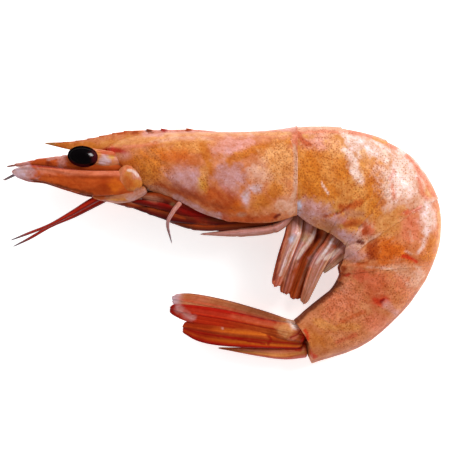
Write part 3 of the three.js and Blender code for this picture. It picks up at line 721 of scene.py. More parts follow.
MARKS_HEAD = (
    streak(((-43, 25), (-38, 24.6), (-31, 24.6), (-27, 25.2)), 1.2, "amber", 0.9),
    streak([(x, y + 0.1) for x, y in SAW_TOP[:5]], 0.22, "rust", 0.8),
    spot(-26, 28.2, 1.3, 0.6, "burnt", 8, 0.9),
    spot(-22.6, 28.2, 0.9, 0.5, "rust", 0, 0.8),
    spot(-43.8, 25.4, 1.8, 0.5, "olive", 0, 0.8, 1.4),
    streak(((-30, 24.9), (-18, 26.2), (-11, 25.4)), 1.3, "apricot", 0.85),
    # a rosy top to the shield, with a painted sheen from the light laid on it
    streak(((-20, 27.9), (-8, 28.3), (4, 28.3), (16.5, 29)), 1, "rose", 0.9),
    streak(((-15, 27.4), (0, 27.6), (16, 27.8)), 0.5, "peach", 0.7),
    streak(((-18, 25.6), (-11, 26.5), (-3, 26.3)), 0.5, "blush", 0.6),
    spot(-8.5, 24.4, 6.5, 1.9, "apricot", 4, 0.85),
    spot(2, 24.6, 5.5, 2.2, "rose", 8, 0.8),
    spot(-28.6, 20.9, 2.3, 1.2, "lilac", -8, 0.85),
    streak(((-30.2, 23.7), (-28, 24), (-24.4, 23)), 0.8, "coral", 0.7, 1.8),
    streak(((-30.2, 23.5), (-28, 23.7), (-25, 23)), 0.5, "red", 0.9, 1.5),
    streak(((-26.6, 20.2), (-24, 20.6), (-21, 20)), 1.1, "orange", 0.9, 1.6),
    spot(-24.8, 22.2, 1.6, 0.9, "rose", 0, 0.7, 1.5),
    streak(((-25, 24.4), (-21, 24.6), (-17, 25.2)), 0.5, "salmon", 0.75, 1.5),
    spot(-18.6, 18.8, 4.6, 5.4, "amber", -20, 0.9, 1.4),
    spot(-11.4, 21.4, 4.2, 2, "orange", -8, 0.75, 1.7),
    streak(((-5.6, 24.6), (-4.4, 21.6), (-3.4, 17.5)), 1, "amber", 0.85),
    spot(-9, 16.3, 4.9, 3, "mauve", -16, 0.95, 1.3),
    spot(1.4, 17.6, 3.8, 4.6, "mauve", 0, 0.9),
    streak(((-5.2, 18.6), (-4.8, 14.6), (-3, 12)), 0.9, "apricot", 0.8),
    streak(((1, 20.8), (5, 22.6), (10, 24.4), (16, 25.6)), 1.1, "amber", 0.9),
    spot(13.2, 20, 4.2, 6.2, "peach", 0, 0.85),
    spot(8.6, 17.6, 2.6, 3.4, "blush", 0, 0.7),
    streak(((-16.5, 14.7), (-9.5, 12.7), (-3, 10), (3, 9)), 1.3, "rust", 0.85, 1.8),
    spot(-0.5, 11.2, 5.2, 2.5, "burnt", -24, 0.75, 1.7),
    spot(3.2, 9, 1.7, 1.4, "orange", 0, 0.8, 1.5),
    spot(-2.9, 13.2, 1.8, 1.2, "burnt", -10, 0.7, 1.5),
    spot(-5.6, 14.8, 1.2, 1.6, "honey", 0, 0.7, 1.5),
    spot(-17.5, 13.6, 3.6, 1.1, "clay", -14, 0.8),
    streak(((-12.4, 11.8), (-7.8, 9.6), (-3.8, 7.6), (0.5, 6.4)), 0.8, "mauve", 0.95),
    # two painted highlights, pale lilac, low on the shield
    spot(5.2, 12, 0.9, 2, "lilac", 0, 0.9, 1.4),
    spot(7.8, 14, 1.2, 1.1, "lilac", 0, 0.85, 1.4),
    spot(9, 10.6, 2.8, 2, "amber", 8, 0.85, 1.5),
    spot(12.2, 13.6, 2, 1.8, "amber", 30, 0.85),
    spot(13.8, 10.2, 2, 1.4, "blush", 20, 0.7),
    streak(((0, 6.6), (6, 6.2), (12, 6.8)), 0.9, "burnt", 0.85),
    spot(4, 7.6, 1, 0.6, "clay", 0, 0.9),
    streak(((12.2, 6.8), (13.6, 7.6)), 0.3, "wine", 0.9),
    # painted highlight along the shield's hind rim
    streak(((16.9, 26), (17.5, 21), (17.2, 13), (16.2, 9)), 0.55, "blush", 0.95),
    spot(16.2, 9.8, 2.4, 1.9, "blush", 30, 0.85),
    spot(17.6, 26.2, 1, 1.6, "salmon", 0, 0.85),
    *[spot(x - 0.5, 28.95, 1.2, 0.6, tint, -20, 0.95) for x, tint in
      ((-18.8, "cocoa"), (-15.2, "crimson"), (-8.9, "rust"))],
)
SPECKS_HEAD = (
    (-4, 18, 40, 20, 0, 0.2),
    (-18.6, 18.8, 5, 5.8, -20, 1),
    (13.6, 20, 4.8, 7.4, 0, 0.95),
    (-4.8, 15.4, 1.8, 2.6, 0, 0.8),
    (6, 23.5, 5, 1.6, 12, 0.7),
    (8, 13, 4, 4, 0, 0.5),
    (-12, 23.5, 8, 2, 6, 0.6),
)

shield = head_shell()
blade = saw_blade()
join_on(shield, blade)
carve(shield, CREASES_HEAD)
paint(shield, "shell", MARKS_HEAD, SPECKS_HEAD, blush=0.35)
finished(shield, SHELL, "shell", "head_shield")

# ---------------------------------------------------------------- the tail

GROUND_TAIL = ("apricot", "apricot", "blush", "shell", "shell", "shell")
MARKS_TAIL = (
    # first ring
    streak(((17, 29), (26, 28.9), (34, 27.6), (40, 25.8)), 1.9, "blush", 0.9),
    streak(((18.5, 27.9), (24, 28.2), (30, 27.9)), 0.4, "salmon", 0.7),
    spot(24, 25.2, 6, 2, "rose", -4, 0.8),
    spot(21.6, 17.4, 4, 5.8, "amber", 0, 0.95),
    spot(25.8, 19, 2, 4.4, "apricot", 8, 0.8),
    spot(29.2, 18.6, 2.4, 3.4, "amber", -20, 0.9),
    spot(24.6, 13.4, 3.4, 2, "amber", 0, 0.85),
    spot(28, 24.6, 3.2, 2.6, "peach", -30, 0.75),
    spot(21.8, 9, 4.8, 2.2, "mauve", -12, 0.9),
    spot(17.6, 9.2, 1.2, 2, "ice", 0, 0.8),
    # painted highlights along the first ring's hind rim
    streak(((30.4, 23.2), (31.6, 20), (33.4, 15.8)), 1.1, "pearl", 0.8, 1.5),
    streak(((31.6, 22), (33.5, 15.6)), 0.35, "pearl", 0.5, 1.6),
    streak(((23.8, 15.2), (25.5, 12.6)), 0.22, "milk", 0.5, 1.5),
    streak(((18.2, 27.4), (19.6, 25.4), (20.6, 25)), 0.6, "burnt", 0.8),
    # second ring
    spot(34.6, 24.4, 5.6, 2.8, "pearl", -22, 0.9),
    streak(((34.2, 23), (35.4, 20), (35.4, 16)), 0.8, "peach", 0.8),
    spot(37.2, 15.6, 2.6, 5.2, "amber", -8, 0.95),
    spot(32.4, 13.2, 2.6, 2, "apricot", 0, 0.8),
    streak(((28.4, 9.4), (31, 9.6), (33, 10.4)), 0.9, "burnt", 0.85),
    streak(((24.5, 7), (28.5, 8.2), (31, 10.2)), 0.35, "rust", 0.9),
    spot(27.6, 6, 2.8, 1.3, "mauve", 8, 0.9),
    spot(31, 5.4, 2.6, 1.1, "burnt", 10, 0.8),
    streak(((30.4, 8), (34, 7.6)), 0.9, "clay", 0.7),
    # third ring
    # pale pink skin with a painted sheen laid over it
    spot(44.5, 18.5, 6, 7, "pearl", -30, 0.65),
    spot(42.8, 17, 2.6, 5.2, "pearl", -20, 0.75, 1.5),
    streak(((41.8, 18.4), (40.8, 16.4)), 0.4, "coral", 0.55, 1.6),
    streak(((41.2, 15), (41.8, 11.6)), 0.5, "salmon", 0.7),
    spot(39.5, 5.6, 5, 3.2, "apricot", -6, 0.9),
    spot(37, 9.6, 2.6, 2.6, "amber", 0, 0.8),
    spot(44, 8.2, 3.2, 1.6, "apricot", -20, 0.85),
    spot(35.2, 4, 1.8, 1.8, "coral", 0, 0.85),
    streak(((48.2, 16.2), (48.8, 13.4), (50.2, 11.6)), 0.7, "salmon", 0.85),
    # fourth ring
    spot(46, 4.6, 2.6, 4, "salmon", 0, 0.8),
    streak(((44.6, 8), (46.6, 8.6), (48.6, 9.4)), 0.5, "coral", 0.85),
    streak(((45.2, 6.8), (46.4, 5)), 0.25, "coral", 0.8),
    streak(((45.6, 3.4), (46.4, 1)), 0.25, "blush", 0.7),
    # painted highlight: a pale strip down the fourth ring's side that faces the light, and its tail
    spot(50.4, 6.6, 1.9, 4.2, "pearl", -4, 0.9, 1.4),
    streak(((49.9, 2.4), (49, -0.2), (47.8, -1.8)), 0.4, "pearl", 0.55, 1.5),
    spot(51.4, 0, 1.2, 3.2, "amber", -6, 0.85),
    spot(51, 13.4, 1.4, 1.6, "peach", 0, 0.8),
    spot(41, -1.4, 4.8, 2.6, "orange", -6, 0.9),
    streak(((38, -4.2), (42, -4.2), (46, -4)), 0.5, "orange", 0.7),
    spot(36.4, -1, 1.5, 2.8, "rust", 0, 0.9),
    spot(30.4, 1.8, 2.4, 1.6, "mauve", 0, 0.9, 1.4),
    spot(31.6, -2.2, 2.6, 1.5, "mauve", -10, 0.9, 1.4),
    spot(33.6, 0.6, 0.9, 0.5, "wine", -20, 0.9),
    spot(29.6, 0.4, 1, 1.4, "blush", 0, 0.8),
    spot(34.4, 3.4, 0.9, 0.9, "rust", 0, 0.8),
    streak(((44, -2.7), (46, -3.2), (47.6, -4.1)), 0.4, "scarlet", 0.9),
    streak(((44.8, -1.4), (46.2, -2.3)), 0.25, "pearl", 0.55, 1.4),
    spot(50.6, -3.4, 2, 0.9, "amber", 0, 0.85),
    # lower edge of the side plates
    spot(20.6, 6.2, 3.4, 1.5, "mauve", -24, 0.8, 1.5),
    spot(25.6, 4.4, 2.6, 1.5, "clay", -24, 0.8, 1.5),
    spot(28.8, 2.6, 1.8, 1.3, "mauve", -40, 0.8, 1.5),
    # stripe down the back
    streak(((31.2, 28.2), (37, 26.8), (42.5, 24.2)), 0.5, "salmon", 0.85),
    streak(((37, 26.6), (40, 25.4)), 0.4, "honey", 0.7),
    streak(((45.6, 22.2), (48.2, 18.4), (50.6, 15), (52.2, 12.6)), 0.6, "salmon", 0.85, 1.5),
    streak(((53.6, 8), (53.9, 2), (53, -3)), 0.7, "peach", 0.85),
    # fifth ring
    streak(((35, -5.4), (38, -5.6), (41.4, -5.9)), 0.35, "blush", 0.9),
    streak(((33, -4.6), (35.4, -4.4)), 0.4, "burnt", 0.8),
    spot(37, -9.6, 4, 3.4, "coral", -35, 0.7, 1.5),
    spot(44.6, -9.6, 3.4, 2, "salmon", -50, 0.7),
    spot(47.4, -8.4, 1.8, 3.4, "blush", -28, 0.8),
    spot(38.6, -14, 2.2, 1.3, "scarlet", 10, 0.85, 1.6),
    spot(39, -13.8, 0.6, 0.45, "crimson", 30, 0.95, 1.2),
    streak(((29.6, -5.8), (28.4, -8), (24.6, -11.6)), 0.9, "rust", 0.9),
    spot(33.6, -7.4, 2.4, 1.4, "coral", -30, 0.8),
    spot(30.4, -7.4, 0.8, 0.7, "red", 0, 0.8),
    spot(29.4, -11.2, 1.3, 1, "blush", 0, 0.8, 1.5),
    spot(44, -6, 2.6, 1.5, "blush", -30, 0.75, 1.5),
    # last ring
    streak(((40.2, -14.8), (42.8, -17)), 0.8, "rose", 0.8, 1.5),
    streak(((28, -24.2), (32.5, -22.4)), 0.5, "coral", 0.7, 1.6),
    spot(23, -23.6, 3.4, 2.2, "amber", -30, 0.7, 1.6),
    spot(37, -20.4, 3, 1.6, "salmon", -35, 0.7, 1.5),
    streak(((28, -20.2), (31, -18), (34.8, -16.6)), 0.5, "burnt", 0.8),
    spot(29, -14, 5, 3.6, "salmon", 30, 0.7),
    streak(((17.2, -19.4), (20.4, -16.8), (23.8, -14), (28.4, -9.6)), 0.7, "cocoa", 0.9, 1.3),
    streak(((22.6, -19), (27, -20.6), (33, -20.4)), 0.9, "apricot", 0.6),
    spot(38.6, -19, 3.6, 2, "salmon", -38, 0.7),
    streak(((20, -21.4), (20.6, -22.6), (20, -24.8)), 0.45, "scarlet", 0.85),
    streak(((21, -26.8), (22.4, -28)), 0.6, "scarlet", 0.8),
    streak(((22.2, -29.2), (28.5, -27.4), (34.3, -24.9), (39.4, -21.3), (43.4, -17.5), (48.4, -11.3)), 0.3,
           "rust", 0.6, 1.4),
)
SPECKS_TAIL = (
    (34, 2, 40, 40, 0, 0.3),
    (24.4, 20, 7.6, 9.4, 0, 1),
    (36.4, 15, 5.4, 8.5, -14, 0.95),
    (43, 17, 5, 8, -30, 0.6),
    (40, -1, 8, 4.6, 0, 0.75),
    (50.4, -3, 2.4, 2, 0, 1),
    (42, -9, 8, 5, -45, 0.8),
    (29, -14.6, 8, 4.6, 35, 0.9),
    (30, -21, 8, 5, 20, 0.7),
)
# soft lumps and folds where the side plates end above the swimming legs
FOLDS_BELLY = (
    (((31, 2.4), (32.4, 2.6)), 1.3, 0.35),
    (((31.6, -2), (33.2, -2.2)), 1.5, 0.4),
    (((26.8, 6.2), (28.4, 6)), 1.4, 0.35),
    (((21, 8.4), (23, 8.6)), 1.6, 0.25),
    (((24.5, 7), (26.4, 7.9), (29, 8.4), (31, 10.6)), 0.35, -0.35),
    (((28.4, 4.2), (31, 4.8), (34.2, 4.2), (35.4, 1.8)), 0.45, -0.3),
    (((29.6, -0.4), (32, 0.4), (33.6, 0.8)), 0.4, -0.35),
    (((29.6, -4.6), (32.4, -4.4), (35, -4.8)), 0.45, -0.3),
    (((35.6, -4), (36.4, -1), (36, 1.6)), 0.8, -0.2),
)
HINGES = ((19.3, 18), (33, 14.8), (40.4, 13), (43.6, 7.4), (44.8, -3.4), (39.2, -14.2))

for segment in range(SEGMENTS):
    shell = tail_ring(segment)
    station, cos, _ = course_of(shell)
    # the back has a low keel towards the tail
    keel = 0.25 * max(segment - 2, 0) / 3 * bell(np.arccos(np.clip(cos, -1, 1)), 0, 0.16)
    raise_by(shell, keel + 0.05 * wobble(points_of(shell), 3.5, segment))
    carve(shell, [(((x, y), (x + 0.5, y)), 0.5, 0.22) for x, y in HINGES] + list(FOLDS_BELLY))
    paint(shell, GROUND_TAIL[segment], MARKS_TAIL, SPECKS_TAIL, blush=0.3)
    finished(shell, SHELL, "shell", f"tail_shell_{segment + 1}")

# ---------------------------------------------------------------- face, eyes and feelers

MARKS_FACE = (
    spot(-33, 19.6, 4, 1.6, "amber", 0, 0.7),
    streak(((-36, 19.2), (-28, 19.4), (-23, 19.8)), 0.35, "rust", 0.7),
)
face = limb("Face", FACE, AXIS, 1, 40, 50)
paint(face, "apricot", MARKS_FACE)
finished(face, HORN, "shell", "face")


FEELER_BANDS = ((-1, "wine"), (-0.3, "red"), (0.1, "scarlet"), (0.45, "crimson"), (1, "wine"))


def egg(name, form, side, around):
    (x, y, z), half, tilt = form
    middle_point = np.array([x, y, AXIS + side * z])
    deselect()
    bpy.ops.mesh.primitive_uv_sphere_add(
        segments=around, ring_count=around * 2 // 3, radius=1, location=(middle_point + SHIFT) * 0.001,
        rotation=(0, 0, tilt), scale=[value * 0.001 for value in half])
    piece = bpy.context.object
    piece.name = piece.data.name = name
    bpy.ops.object.transform_apply(location=True, rotation=True, scale=True)
    bpy.ops.object.shade_smooth()
    write(piece.data, "course", (points_of(piece) - middle_point) / max(half))
    return piece


for label, side in SIDES:
    eye = egg(f"Eye_{label}", EYE, side, 56)
    paint(eye, "black", (
        # painted reddish reflection at the eye's hind end and along its lower edge
        spot(-32, 21.8, 1.2, 1.8, "claret", 0, 0.85),
        streak(((-38.4, 20.7), (-36.6, 19.7), (-33.8, 19.6)), 0.4, "claret", 0.85),
    ))
    finished(eye, EYE_BLACK, "eye", f"eye_{label}")

    stalk = limb(f"Eye_stalk_{label}", EYE_STALK, AXIS, side, 28, 30)
    paint(stalk, "shell", (
        spot(-29.8, 21, 1.6, 1.3, "lilac", 20, 0.9),
        spot(-26.4, 21.4, 1.3, 1, "rose", 0, 0.85),
        spot(-28.2, 22, 0.8, 0.7, "honey", 0, 0.8),
        streak(((-31.4, 23.2), (-29.6, 23), (-27.4, 22.8)), 0.45, "coral", 0.85),
        streak(((-33, 19.6), (-29.5, 19.2), (-25, 19)), 0.7, "amber", 0.9),
        spot(-31.8, 22.2, 0.9, 1.2, "apricot", 0, 0.7),
    ), blush=0.4)
    finished(stalk, PALE_LIMB, "pale_limb", f"eye_stalk_{label}")

    knob = egg(f"Feeler_base_{label}", KNOB, side, 64)
    foot = limb(f"Feeler_stalk_{label}", STALK, AXIS, side, 28, 60)
    join_on(knob, foot)
    arc = [(-23.6 + 2.3 * math.cos(t), 16.7 + 2.6 * math.sin(t)) for t in np.linspace(1.5, 3.6, 10)]
    carve(knob, ((arc, 0.45, 0.1), (((-24.4, 16.0), (-22.6, 16.9)), 1.2, -0.14)))
    paint(knob, "apricot", (
        spot(-21.6, 14.6, 2.6, 1.8, "amber", -20, 0.85, 1.7),
        spot(-21.6, 17.6, 1.6, 1.4, "rose", 0, 0.8),
        spot(-24.2, 15.4, 1.6, 1.8, "burnt", 0, 0.8, 1.6),
        streak(arc, 0.6, "salmon", 0.75, 1.6),
        # painted highlight on the knob's upper side
        streak(((-24, 18.5), (-22.7, 18.3), (-21.6, 17.2)), 0.3, "pearl", 0.95),
        streak(((-33, 12.4), (-30, 12.2)), 1.2, "burnt", 0.95),
        streak(((-30, 10.8), (-24, 10.8), (-20, 12.6)), 0.35, "mauve", 0.8),
        # painted highlight at the bright end of the pale stalk band
        streak(((-24, 11.8), (-20.2, 13.4)), 0.7, "lilac", 0.8, 1.4),
        streak(((-29, 12.2), (-24, 12.4), (-19.6, 14.2)), 0.8, "clay", 0.85),
        streak(((-27, 13.2), (-23, 13.2)), 0.3, "burnt", 0.8),
    ), blush=0.3)
    finished(knob, HORN, "shell", f"feeler_base_{label}")

    drop = 0 if side > 0 else FAR_SCALE_DROP
    rows = [(x, y - drop, *rest) for x, y, *rest in SCALE]
    scale = limb(f"Feeler_scale_{label}", rows, AXIS, side, 48, 90, squareness=2.6)
    share, across, out = course_of(scale)
    rib = 0.22 * bell(across, -0.62, 0.14) - 0.16 * bell(across, -0.3, 0.16)
    raise_by(scale, (rib + 0.03 * np.sin(across * 26)) * np.abs(out))
    paint(scale, "burnt", (
        streak(((-25, 17.9), (-36, 18), (-46, 18.8)), 0.8, "salmon", 0.9, 1.6),
        streak(((-49, 19.8), (-42.6, 19.3), (-34.3, 18.7), (-26, 19)), 0.22, "crimson", 0.85, 1.4),
        streak(((-27, 15.9), (-31, 15.9), (-37, 16.1)), 1.2, "burnt", 0.75, 1.6),
        spot(-31, 13.9, 4.4, 1.1, "rust", 4, 0.8, 1.5),
        spot(-27, 14.8, 1.6, 1.6, "orange", 0, 0.8),
        spot(-52, 18.2, 3.9, 2.6, "lilac", 0, 0.92, 1.6),
        streak(((-48, 16.2), (-40, 14.4), (-33, 12.6)), 0.35, "cocoa", 0.8),
        streak(((-46, 17.2), (-36, 16.8), (-28, 16.9)), 0.3, "rust", 0.7),
    ), ((-44.0, 17.0, 5.0, 2.0, 0, 0.25),), blush=0.3)
    finished(scale, HORN, "shell", f"feeler_scale_{label}")

    antennule = limb(f"Antennule_{label}", ANTENNULE, AXIS, side, 32, 90)
    whip = limb(f"Whip_{label}", WHIP, AXIS, side, 16, 50)
    jointed(antennule, ANTENNULE, 0.12)
    join_on(antennule, whip)
    paint(antennule, "burnt", (
        streak(((-44, 21.4), (-40, 22)), 0.35, "mauve", 0.85),
        streak(((-48, 20), (-38, 19), (-26, 18.4)), 0.35, "rust", 0.9),
        spot(-33, 19.6, 3, 0.8, "burnt", 0, 0.8),
        spot(-40.4, 20.6, 1.2, 1.4, "mauve", 0, 0.7),
        spot(-51, 20, 3, 1.2, "mauve", 0, 0.8),
        spot(-51, 17.6, 3.5, 1.4, "lilac", -30, 0.85),
        spot(-43.9, 20.4, 0.7, 0.35, "wine", 0, 0.8, 1.4),
        spot(-46.4, 21.2, 1.1, 0.3, "burnt", 10, 0.7, 1.4),
        streak(((-55, 19.5), (-52.5, 20.2)), 0.4, "cocoa", 0.8),
        streak(((-55.8, 16), (-52.2, 17.8)), 0.6, "slate", 0.9, 1.4),
    ), ((-41.0, 20.6, 5.0, 1.8, 0, 0.45),), blush=0.3)
    finished(antennule, HORN, "shell", f"antennule_{label}")

    feeler = limb(f"Feeler_{label}", FEELERS[label], AXIS, side, 18, 110)
    share, across, out = course_of(feeler)
    colour = banded(across * np.sign(side), FEELER_BANDS)
    paint(feeler, tinted(colour, "slate", smoothstep(share, 0.72, 0.98)))
    finished(feeler, DARK_LIMB, "red_shell", f"feeler_{label}")

# ---------------------------------------------------------------- legs

LEG_BANDS = (
    ((-1, "rust"), (-0.4, "rust"), (0.1, "cocoa"), (0.5, "wine"), (1, "wine")),
    ((-1, "wine"), (-0.2, "crimson"), (0.3, "wine"), (1, "wine")),
    ((-1, "wine"), (-0.3, "cocoa"), (0.4, "wine"), (1, "claret")),
    ((-1, "wine"), (-0.2, "rust"), (0.4, "cocoa"), (1, "wine")),
    ((-1, "clay"), (-0.5, "rose"), (0.2, "mauve"), (1, "clay")),
)
LEG_MARKS = (
    spot(-8.4, 8.4, 3.4, 1.2, "crimson", -20, 0.8, 1.5),
    spot(-13, 10.1, 0.6, 0.4, "olive", 0, 0.6, 1.4),
    spot(-5, 5, 2.4, 0.5, "rust", -8, 0.7, 1.5),
    spot(-18.6, 11.6, 2.6, 0.7, "clay", -14, 0.7, 1.5),
    streak(((-19, 9.2), (-14, 8), (-10, 6.6)), 0.3, "rust", 0.7, 1.4),
    streak(((-21, 10.6), (-15, 9.2), (-11, 8.6)), 0.3, "wine", 0.7, 1.4),
)
breast = limb("Breast", BREAST, AXIS, 1, 32, 60)
paint(breast, "cocoa")
finished(breast, DARK_LIMB, "dark_limb", "breast")
for label, side in SIDES:
    foot = limb(f"Jaw_foot_{label}", JAW_FOOT, AXIS, side, 20, 70)
    jointed(foot, JAW_FOOT)
    share, across, out = course_of(foot)
    paint(foot, banded(across, ((-1.0, "rust"), (-0.2, "clay"), (0.3, "rust"), (1.0, "wine"))), LEG_MARKS)
    finished(foot, DARK_LIMB, "dark_limb", f"jaw_foot_{label}")
    for i, rows in enumerate(LEGS):
        leg = limb(f"Leg_{i + 1}_{label}", rows, AXIS, side, 20, 70)
        jointed(leg, rows)
        share, across, out = course_of(leg)
        pale = i == len(LEGS) - 1
        marks = (spot(-1.2, 5.0, 2.4, 0.9, "rose", 0, 0.7),) if pale else LEG_MARKS
        paint(leg, banded(across, LEG_BANDS[i]), marks)
        finished(leg, PALE_LIMB if pale else DARK_LIMB, "pale_limb" if pale else "dark_limb",
                 f"leg_{i + 1}_{label}")
claw = limb("Claw_left", HANGING_CLAW, AXIS, 1, 18, 60)
share, across, out = course_of(claw)
paint(claw, banded(share, ((0.0, "rose"), (0.5, "mauve"), (1.0, "slate"))))
finished(claw, PALE_LIMB, "pale_limb", "claw_left")

# ---------------------------------------------------------------- swimming legs

SWIM_BANDS = (
    ((-1, "rust"), (-0.78, "salmon"), (-0.5, "clay"), (-0.1, "mauve"), (0.3, "rose"), (0.55, "clay"),
     (0.72, "blush"), (0.84, "pearl"), (0.94, "coral"), (1, "rust")),
    ((-1, "rust"), (-0.6, "clay"), (-0.2, "mauve"), (0.2, "rose"), (0.5, "clay"), (0.7, "mauve"),
     (0.82, "blush"), (0.92, "rust"), (1, "wine")),
    ((-1, "wine"), (-0.5, "rust"), (-0.1, "burnt"), (0.2, "clay"), (0.5, "rust"), (0.8, "wine"),
     (1, "wine")),
    ((-1, "rust"), (-0.8, "salmon"), (-0.5, "clay"), (-0.15, "rose"), (0.2, "clay"), (0.5, "mauve"),
     (0.7, "clay"), (0.84, "blush"), (0.94, "clay"), (1, "rust")),
    ((-1, "rust"), (-0.3, "mauve"), (0.1, "rose"), (0.5, "clay"), (0.75, "blush"), (1, "clay")),
)
SWIM_TIPS = ("coral", "rust", "rust", "clay", "tan")
SWIM_MARKS = (
    # dark red edges and colours, with painted shade on the shaded left sides of the blades and in the gaps
    # between them
    streak(((14.8, 3.6), (13.6, -2), (12.2, -8.6)), 0.3, "wine", 0.8, 1.4),
    streak(((23.6, 2.4), (21, -0.8), (18.4, -4.2)), 0.5, "wine", 0.8, 1.5),
    streak(((22.4, 0.2), (19.4, -3.8), (17.6, -6.4)), 0.6, "rust", 0.8, 1.5),
    spot(17.6, -6.6, 1.4, 1.9, "rust", -30, 0.8, 1.5),
    streak(((16.9, 0), (15.5, -4), (14.7, -8.6)), 0.4, "clay", 0.7, 1.5),
    spot(20.2, 1.4, 1.4, 1, "tan", -50, 0.8, 1.5),
    spot(23, -3.2, 1.3, 2.4, "mauve", -45, 0.8, 1.5),
    # painted highlights on the crests and knees, and an orange spot at the last one's root
    spot(16.8, 1.6, 0.8, 1.1, "ice", -20, 0.85, 1.5),
    streak(((18.2, 3), (17.3, 1), (15.5, -2.4), (13.7, -7.4)), 0.3, "pearl", 0.7, 1.5),
    streak(((22.4, 3.4), (21.6, 2), (19.6, -0.6), (18, -3.2)), 0.4, "pearl", 0.85, 1.5),
    streak(((26.6, 1.4), (25.6, -0.6), (22.8, -4.4)), 0.35, "pearl", 0.85, 1.5),
    streak(((28, -1.2), (26.6, -2.4), (25, -3.4)), 0.5, "pearl", 0.85, 1.5),
    spot(27.3, -0.3, 0.7, 0.7, "burnt", 0, 0.85, 1.3),
)
for i, rows in enumerate(SWIMMERETS):
    for label, side in SIDES:
        off_x, off_y = (0, 0) if side > 0 else FAR_SWIMMERETS_OFF
        moved = [(x + off_x, y + off_y, *rest) for x, y, *rest in rows]
        paddle = limb(f"Swimmeret_{i + 1}_{label}", moved, SWIM_AXIS - SWIM_SINK * i, side, 48, 100,
                      squareness=1.6, ragged=0.5)
        share, across, out = course_of(paddle)
        ribs = 0.13 * np.cos(across * 9.5 + i) + 0.05 * np.cos(across * 23)
        knee = 0.25 * bell(share, 0.33, 0.05)
        raise_by(paddle, (ribs * smoothstep(share, 0.3, 0.45) + knee) * np.abs(out))
        colour = tinted(banded(across, SWIM_BANDS[i]), SWIM_TIPS[i], smoothstep(share, 0.6, 1.0) * 0.75)
        colour = tinted(colour, "clay", smoothstep(-share, -0.2, -0.06) * 0.8)
        paint(paddle, colour, SWIM_MARKS, blush=0.4)
        finished(paddle, PALE_LIMB, "pale_limb", f"swimmeret_{i + 1}_{label}")

# ---------------------------------------------------------------- the tail fan

OUTER_BANDS = {
    "left": ((-1, "wine"), (-0.88, "crimson"), (-0.76, "red"), (-0.6, "coral"), (-0.4, "coral"),
             (-0.2, "burnt"), (0, "crimson"), (0.15, "burnt"), (0.4, "rust"), (0.6, "burnt"),
             (0.85, "rust"), (1, "rust")),
    "right": ((-1, "cocoa"), (-0.88, "shell"), (-0.5, "shell"), (-0.2, "coral"), (0.2, "shell"), (1, "rust")),
}
INNER_BANDS = ((-1, "rust"), (-0.6, "burnt"), (-0.3, "orange"), (-0.1, "burnt"), (0.15, "rust"),
               (0.3, "crimson"), (0.42, "rust"), (0.65, "orange"), (0.85, "red"), (0.94, "crimson"),
               (1, "crimson"))


def blade_relief(piece, ridges):
    share, across, out = course_of(piece)
    height = 0.035 * np.cos(across * 30)
    for at, width, high in ridges:
        height += high * bell(across, at, width)
    raise_by(piece, height * np.abs(out) * smoothstep(share, 0.12, 0.3))
    return share, across


telson = limb("Telson", TELSON, TAIL_AXIS, 1, 40, 90, squareness=2.6)
share, across = blade_relief(telson, ((0.0, 0.3, -0.25), (-0.5, 0.18, 0.2), (0.5, 0.18, 0.2)))
paint(telson, banded(across, ((-1.0, "red"), (-0.55, "burnt"), (-0.2, "salmon"), (0.2, "apricot"),
                              (0.6, "coral"), (1.0, "red"))),
      (streak(((6.0, -25.4), (12.0, -25.6), (19.0, -26.2)), 0.5, "red", 0.9, 1.4),))
finished(telson, FAN, "red_shell", "telson")
for label, side in SIDES:
    outer = limb(f"Fan_outer_{label}", FAN_OUTER[label], TAIL_AXIS, side, 64, 120, squareness=1.6, ragged=0.4)
    share, across = blade_relief(outer,
                                 ((-0.8, 0.1, 0.22), (0.02, 0.1, 0.24), (0.85, 0.1, 0.1), (-0.35, 0.2, -0.1)))
    redder = smoothstep(share, 0.38, 0.65) * (0.75 if side > 0 else 0)
    colour = tinted(banded(across, OUTER_BANDS[label]), "red", redder)
    tip = "crimson" if side > 0 else "lilac"
    paint(outer, tinted(colour, tip, smoothstep(share, 0.84, 1.0) * 0.9), (
        spot(16, -20.8, 2.7, 1.8, "peach", 10, 0.8, 1.5),
        # painted highlight on the pale pad at the blade's root
        spot(17.3, -20.4, 1.4, 0.7, "milk", -35, 0.95, 1.4),
        spot(16.8, -23.6, 1.4, 0.6, "salmon", 30, 0.8),
        streak(((16.4, -23.2), (18, -22.4), (19, -21.2)), 0.22, "crimson", 0.85),
        streak(((18.8, -20.4), (19.8, -22.2), (19.4, -24.2)), 0.5, "red", 0.9),
        spot(11.8, -22.4, 1, 1.3, "rust", 20, 0.75),
        streak(((-11.8, -15.8), (-10.2, -17.2), (-8.6, -18.2)), 0.8, "mauve", 0.8, 1.7),
        spot(-6.4, -13.6, 2.4, 0.8, "salmon", -8, 0.6 if side < 0 else 0),
        streak(((2, -17.7), (7, -18.7), (12, -19.6)), 0.5, "coral", 0.6 if side > 0 else 0, 1.6),
    ), blush=0.25)
    finished(outer, FAN, "red_shell", f"fan_outer_{label}")

    inner = limb(f"Fan_inner_{label}", FAN_INNER, TAIL_AXIS, side, 64, 110, squareness=1.6, ragged=0.4)
    share, across = blade_relief(inner,
                                 ((-0.15, 0.09, 0.26), (-0.6, 0.1, 0.12), (0.4, 0.2, -0.08), (0.9, 0.1, 0.1)))
    colour = tinted(banded(across, INNER_BANDS), "crimson", smoothstep(share, 0.35, 0.75) * 0.7)
    paint(inner, colour, (
        streak(((-1.7, -22.8), (4.4, -23.8), (10, -24.8)), 0.28, "crimson", 0.9),
        streak(((10.8, -22.4), (11.5, -23.6), (10.8, -24.8)), 0.35, "crimson", 0.85, 1.4),
        spot(-0.6, -20.9, 0.4, 0.3, "rose", 0, 0.8),
    ), blush=0.25)
    finished(inner, FAN, "red_shell", f"fan_inner_{label}")

# ---------------------------------------------------------------- table, lights and camera

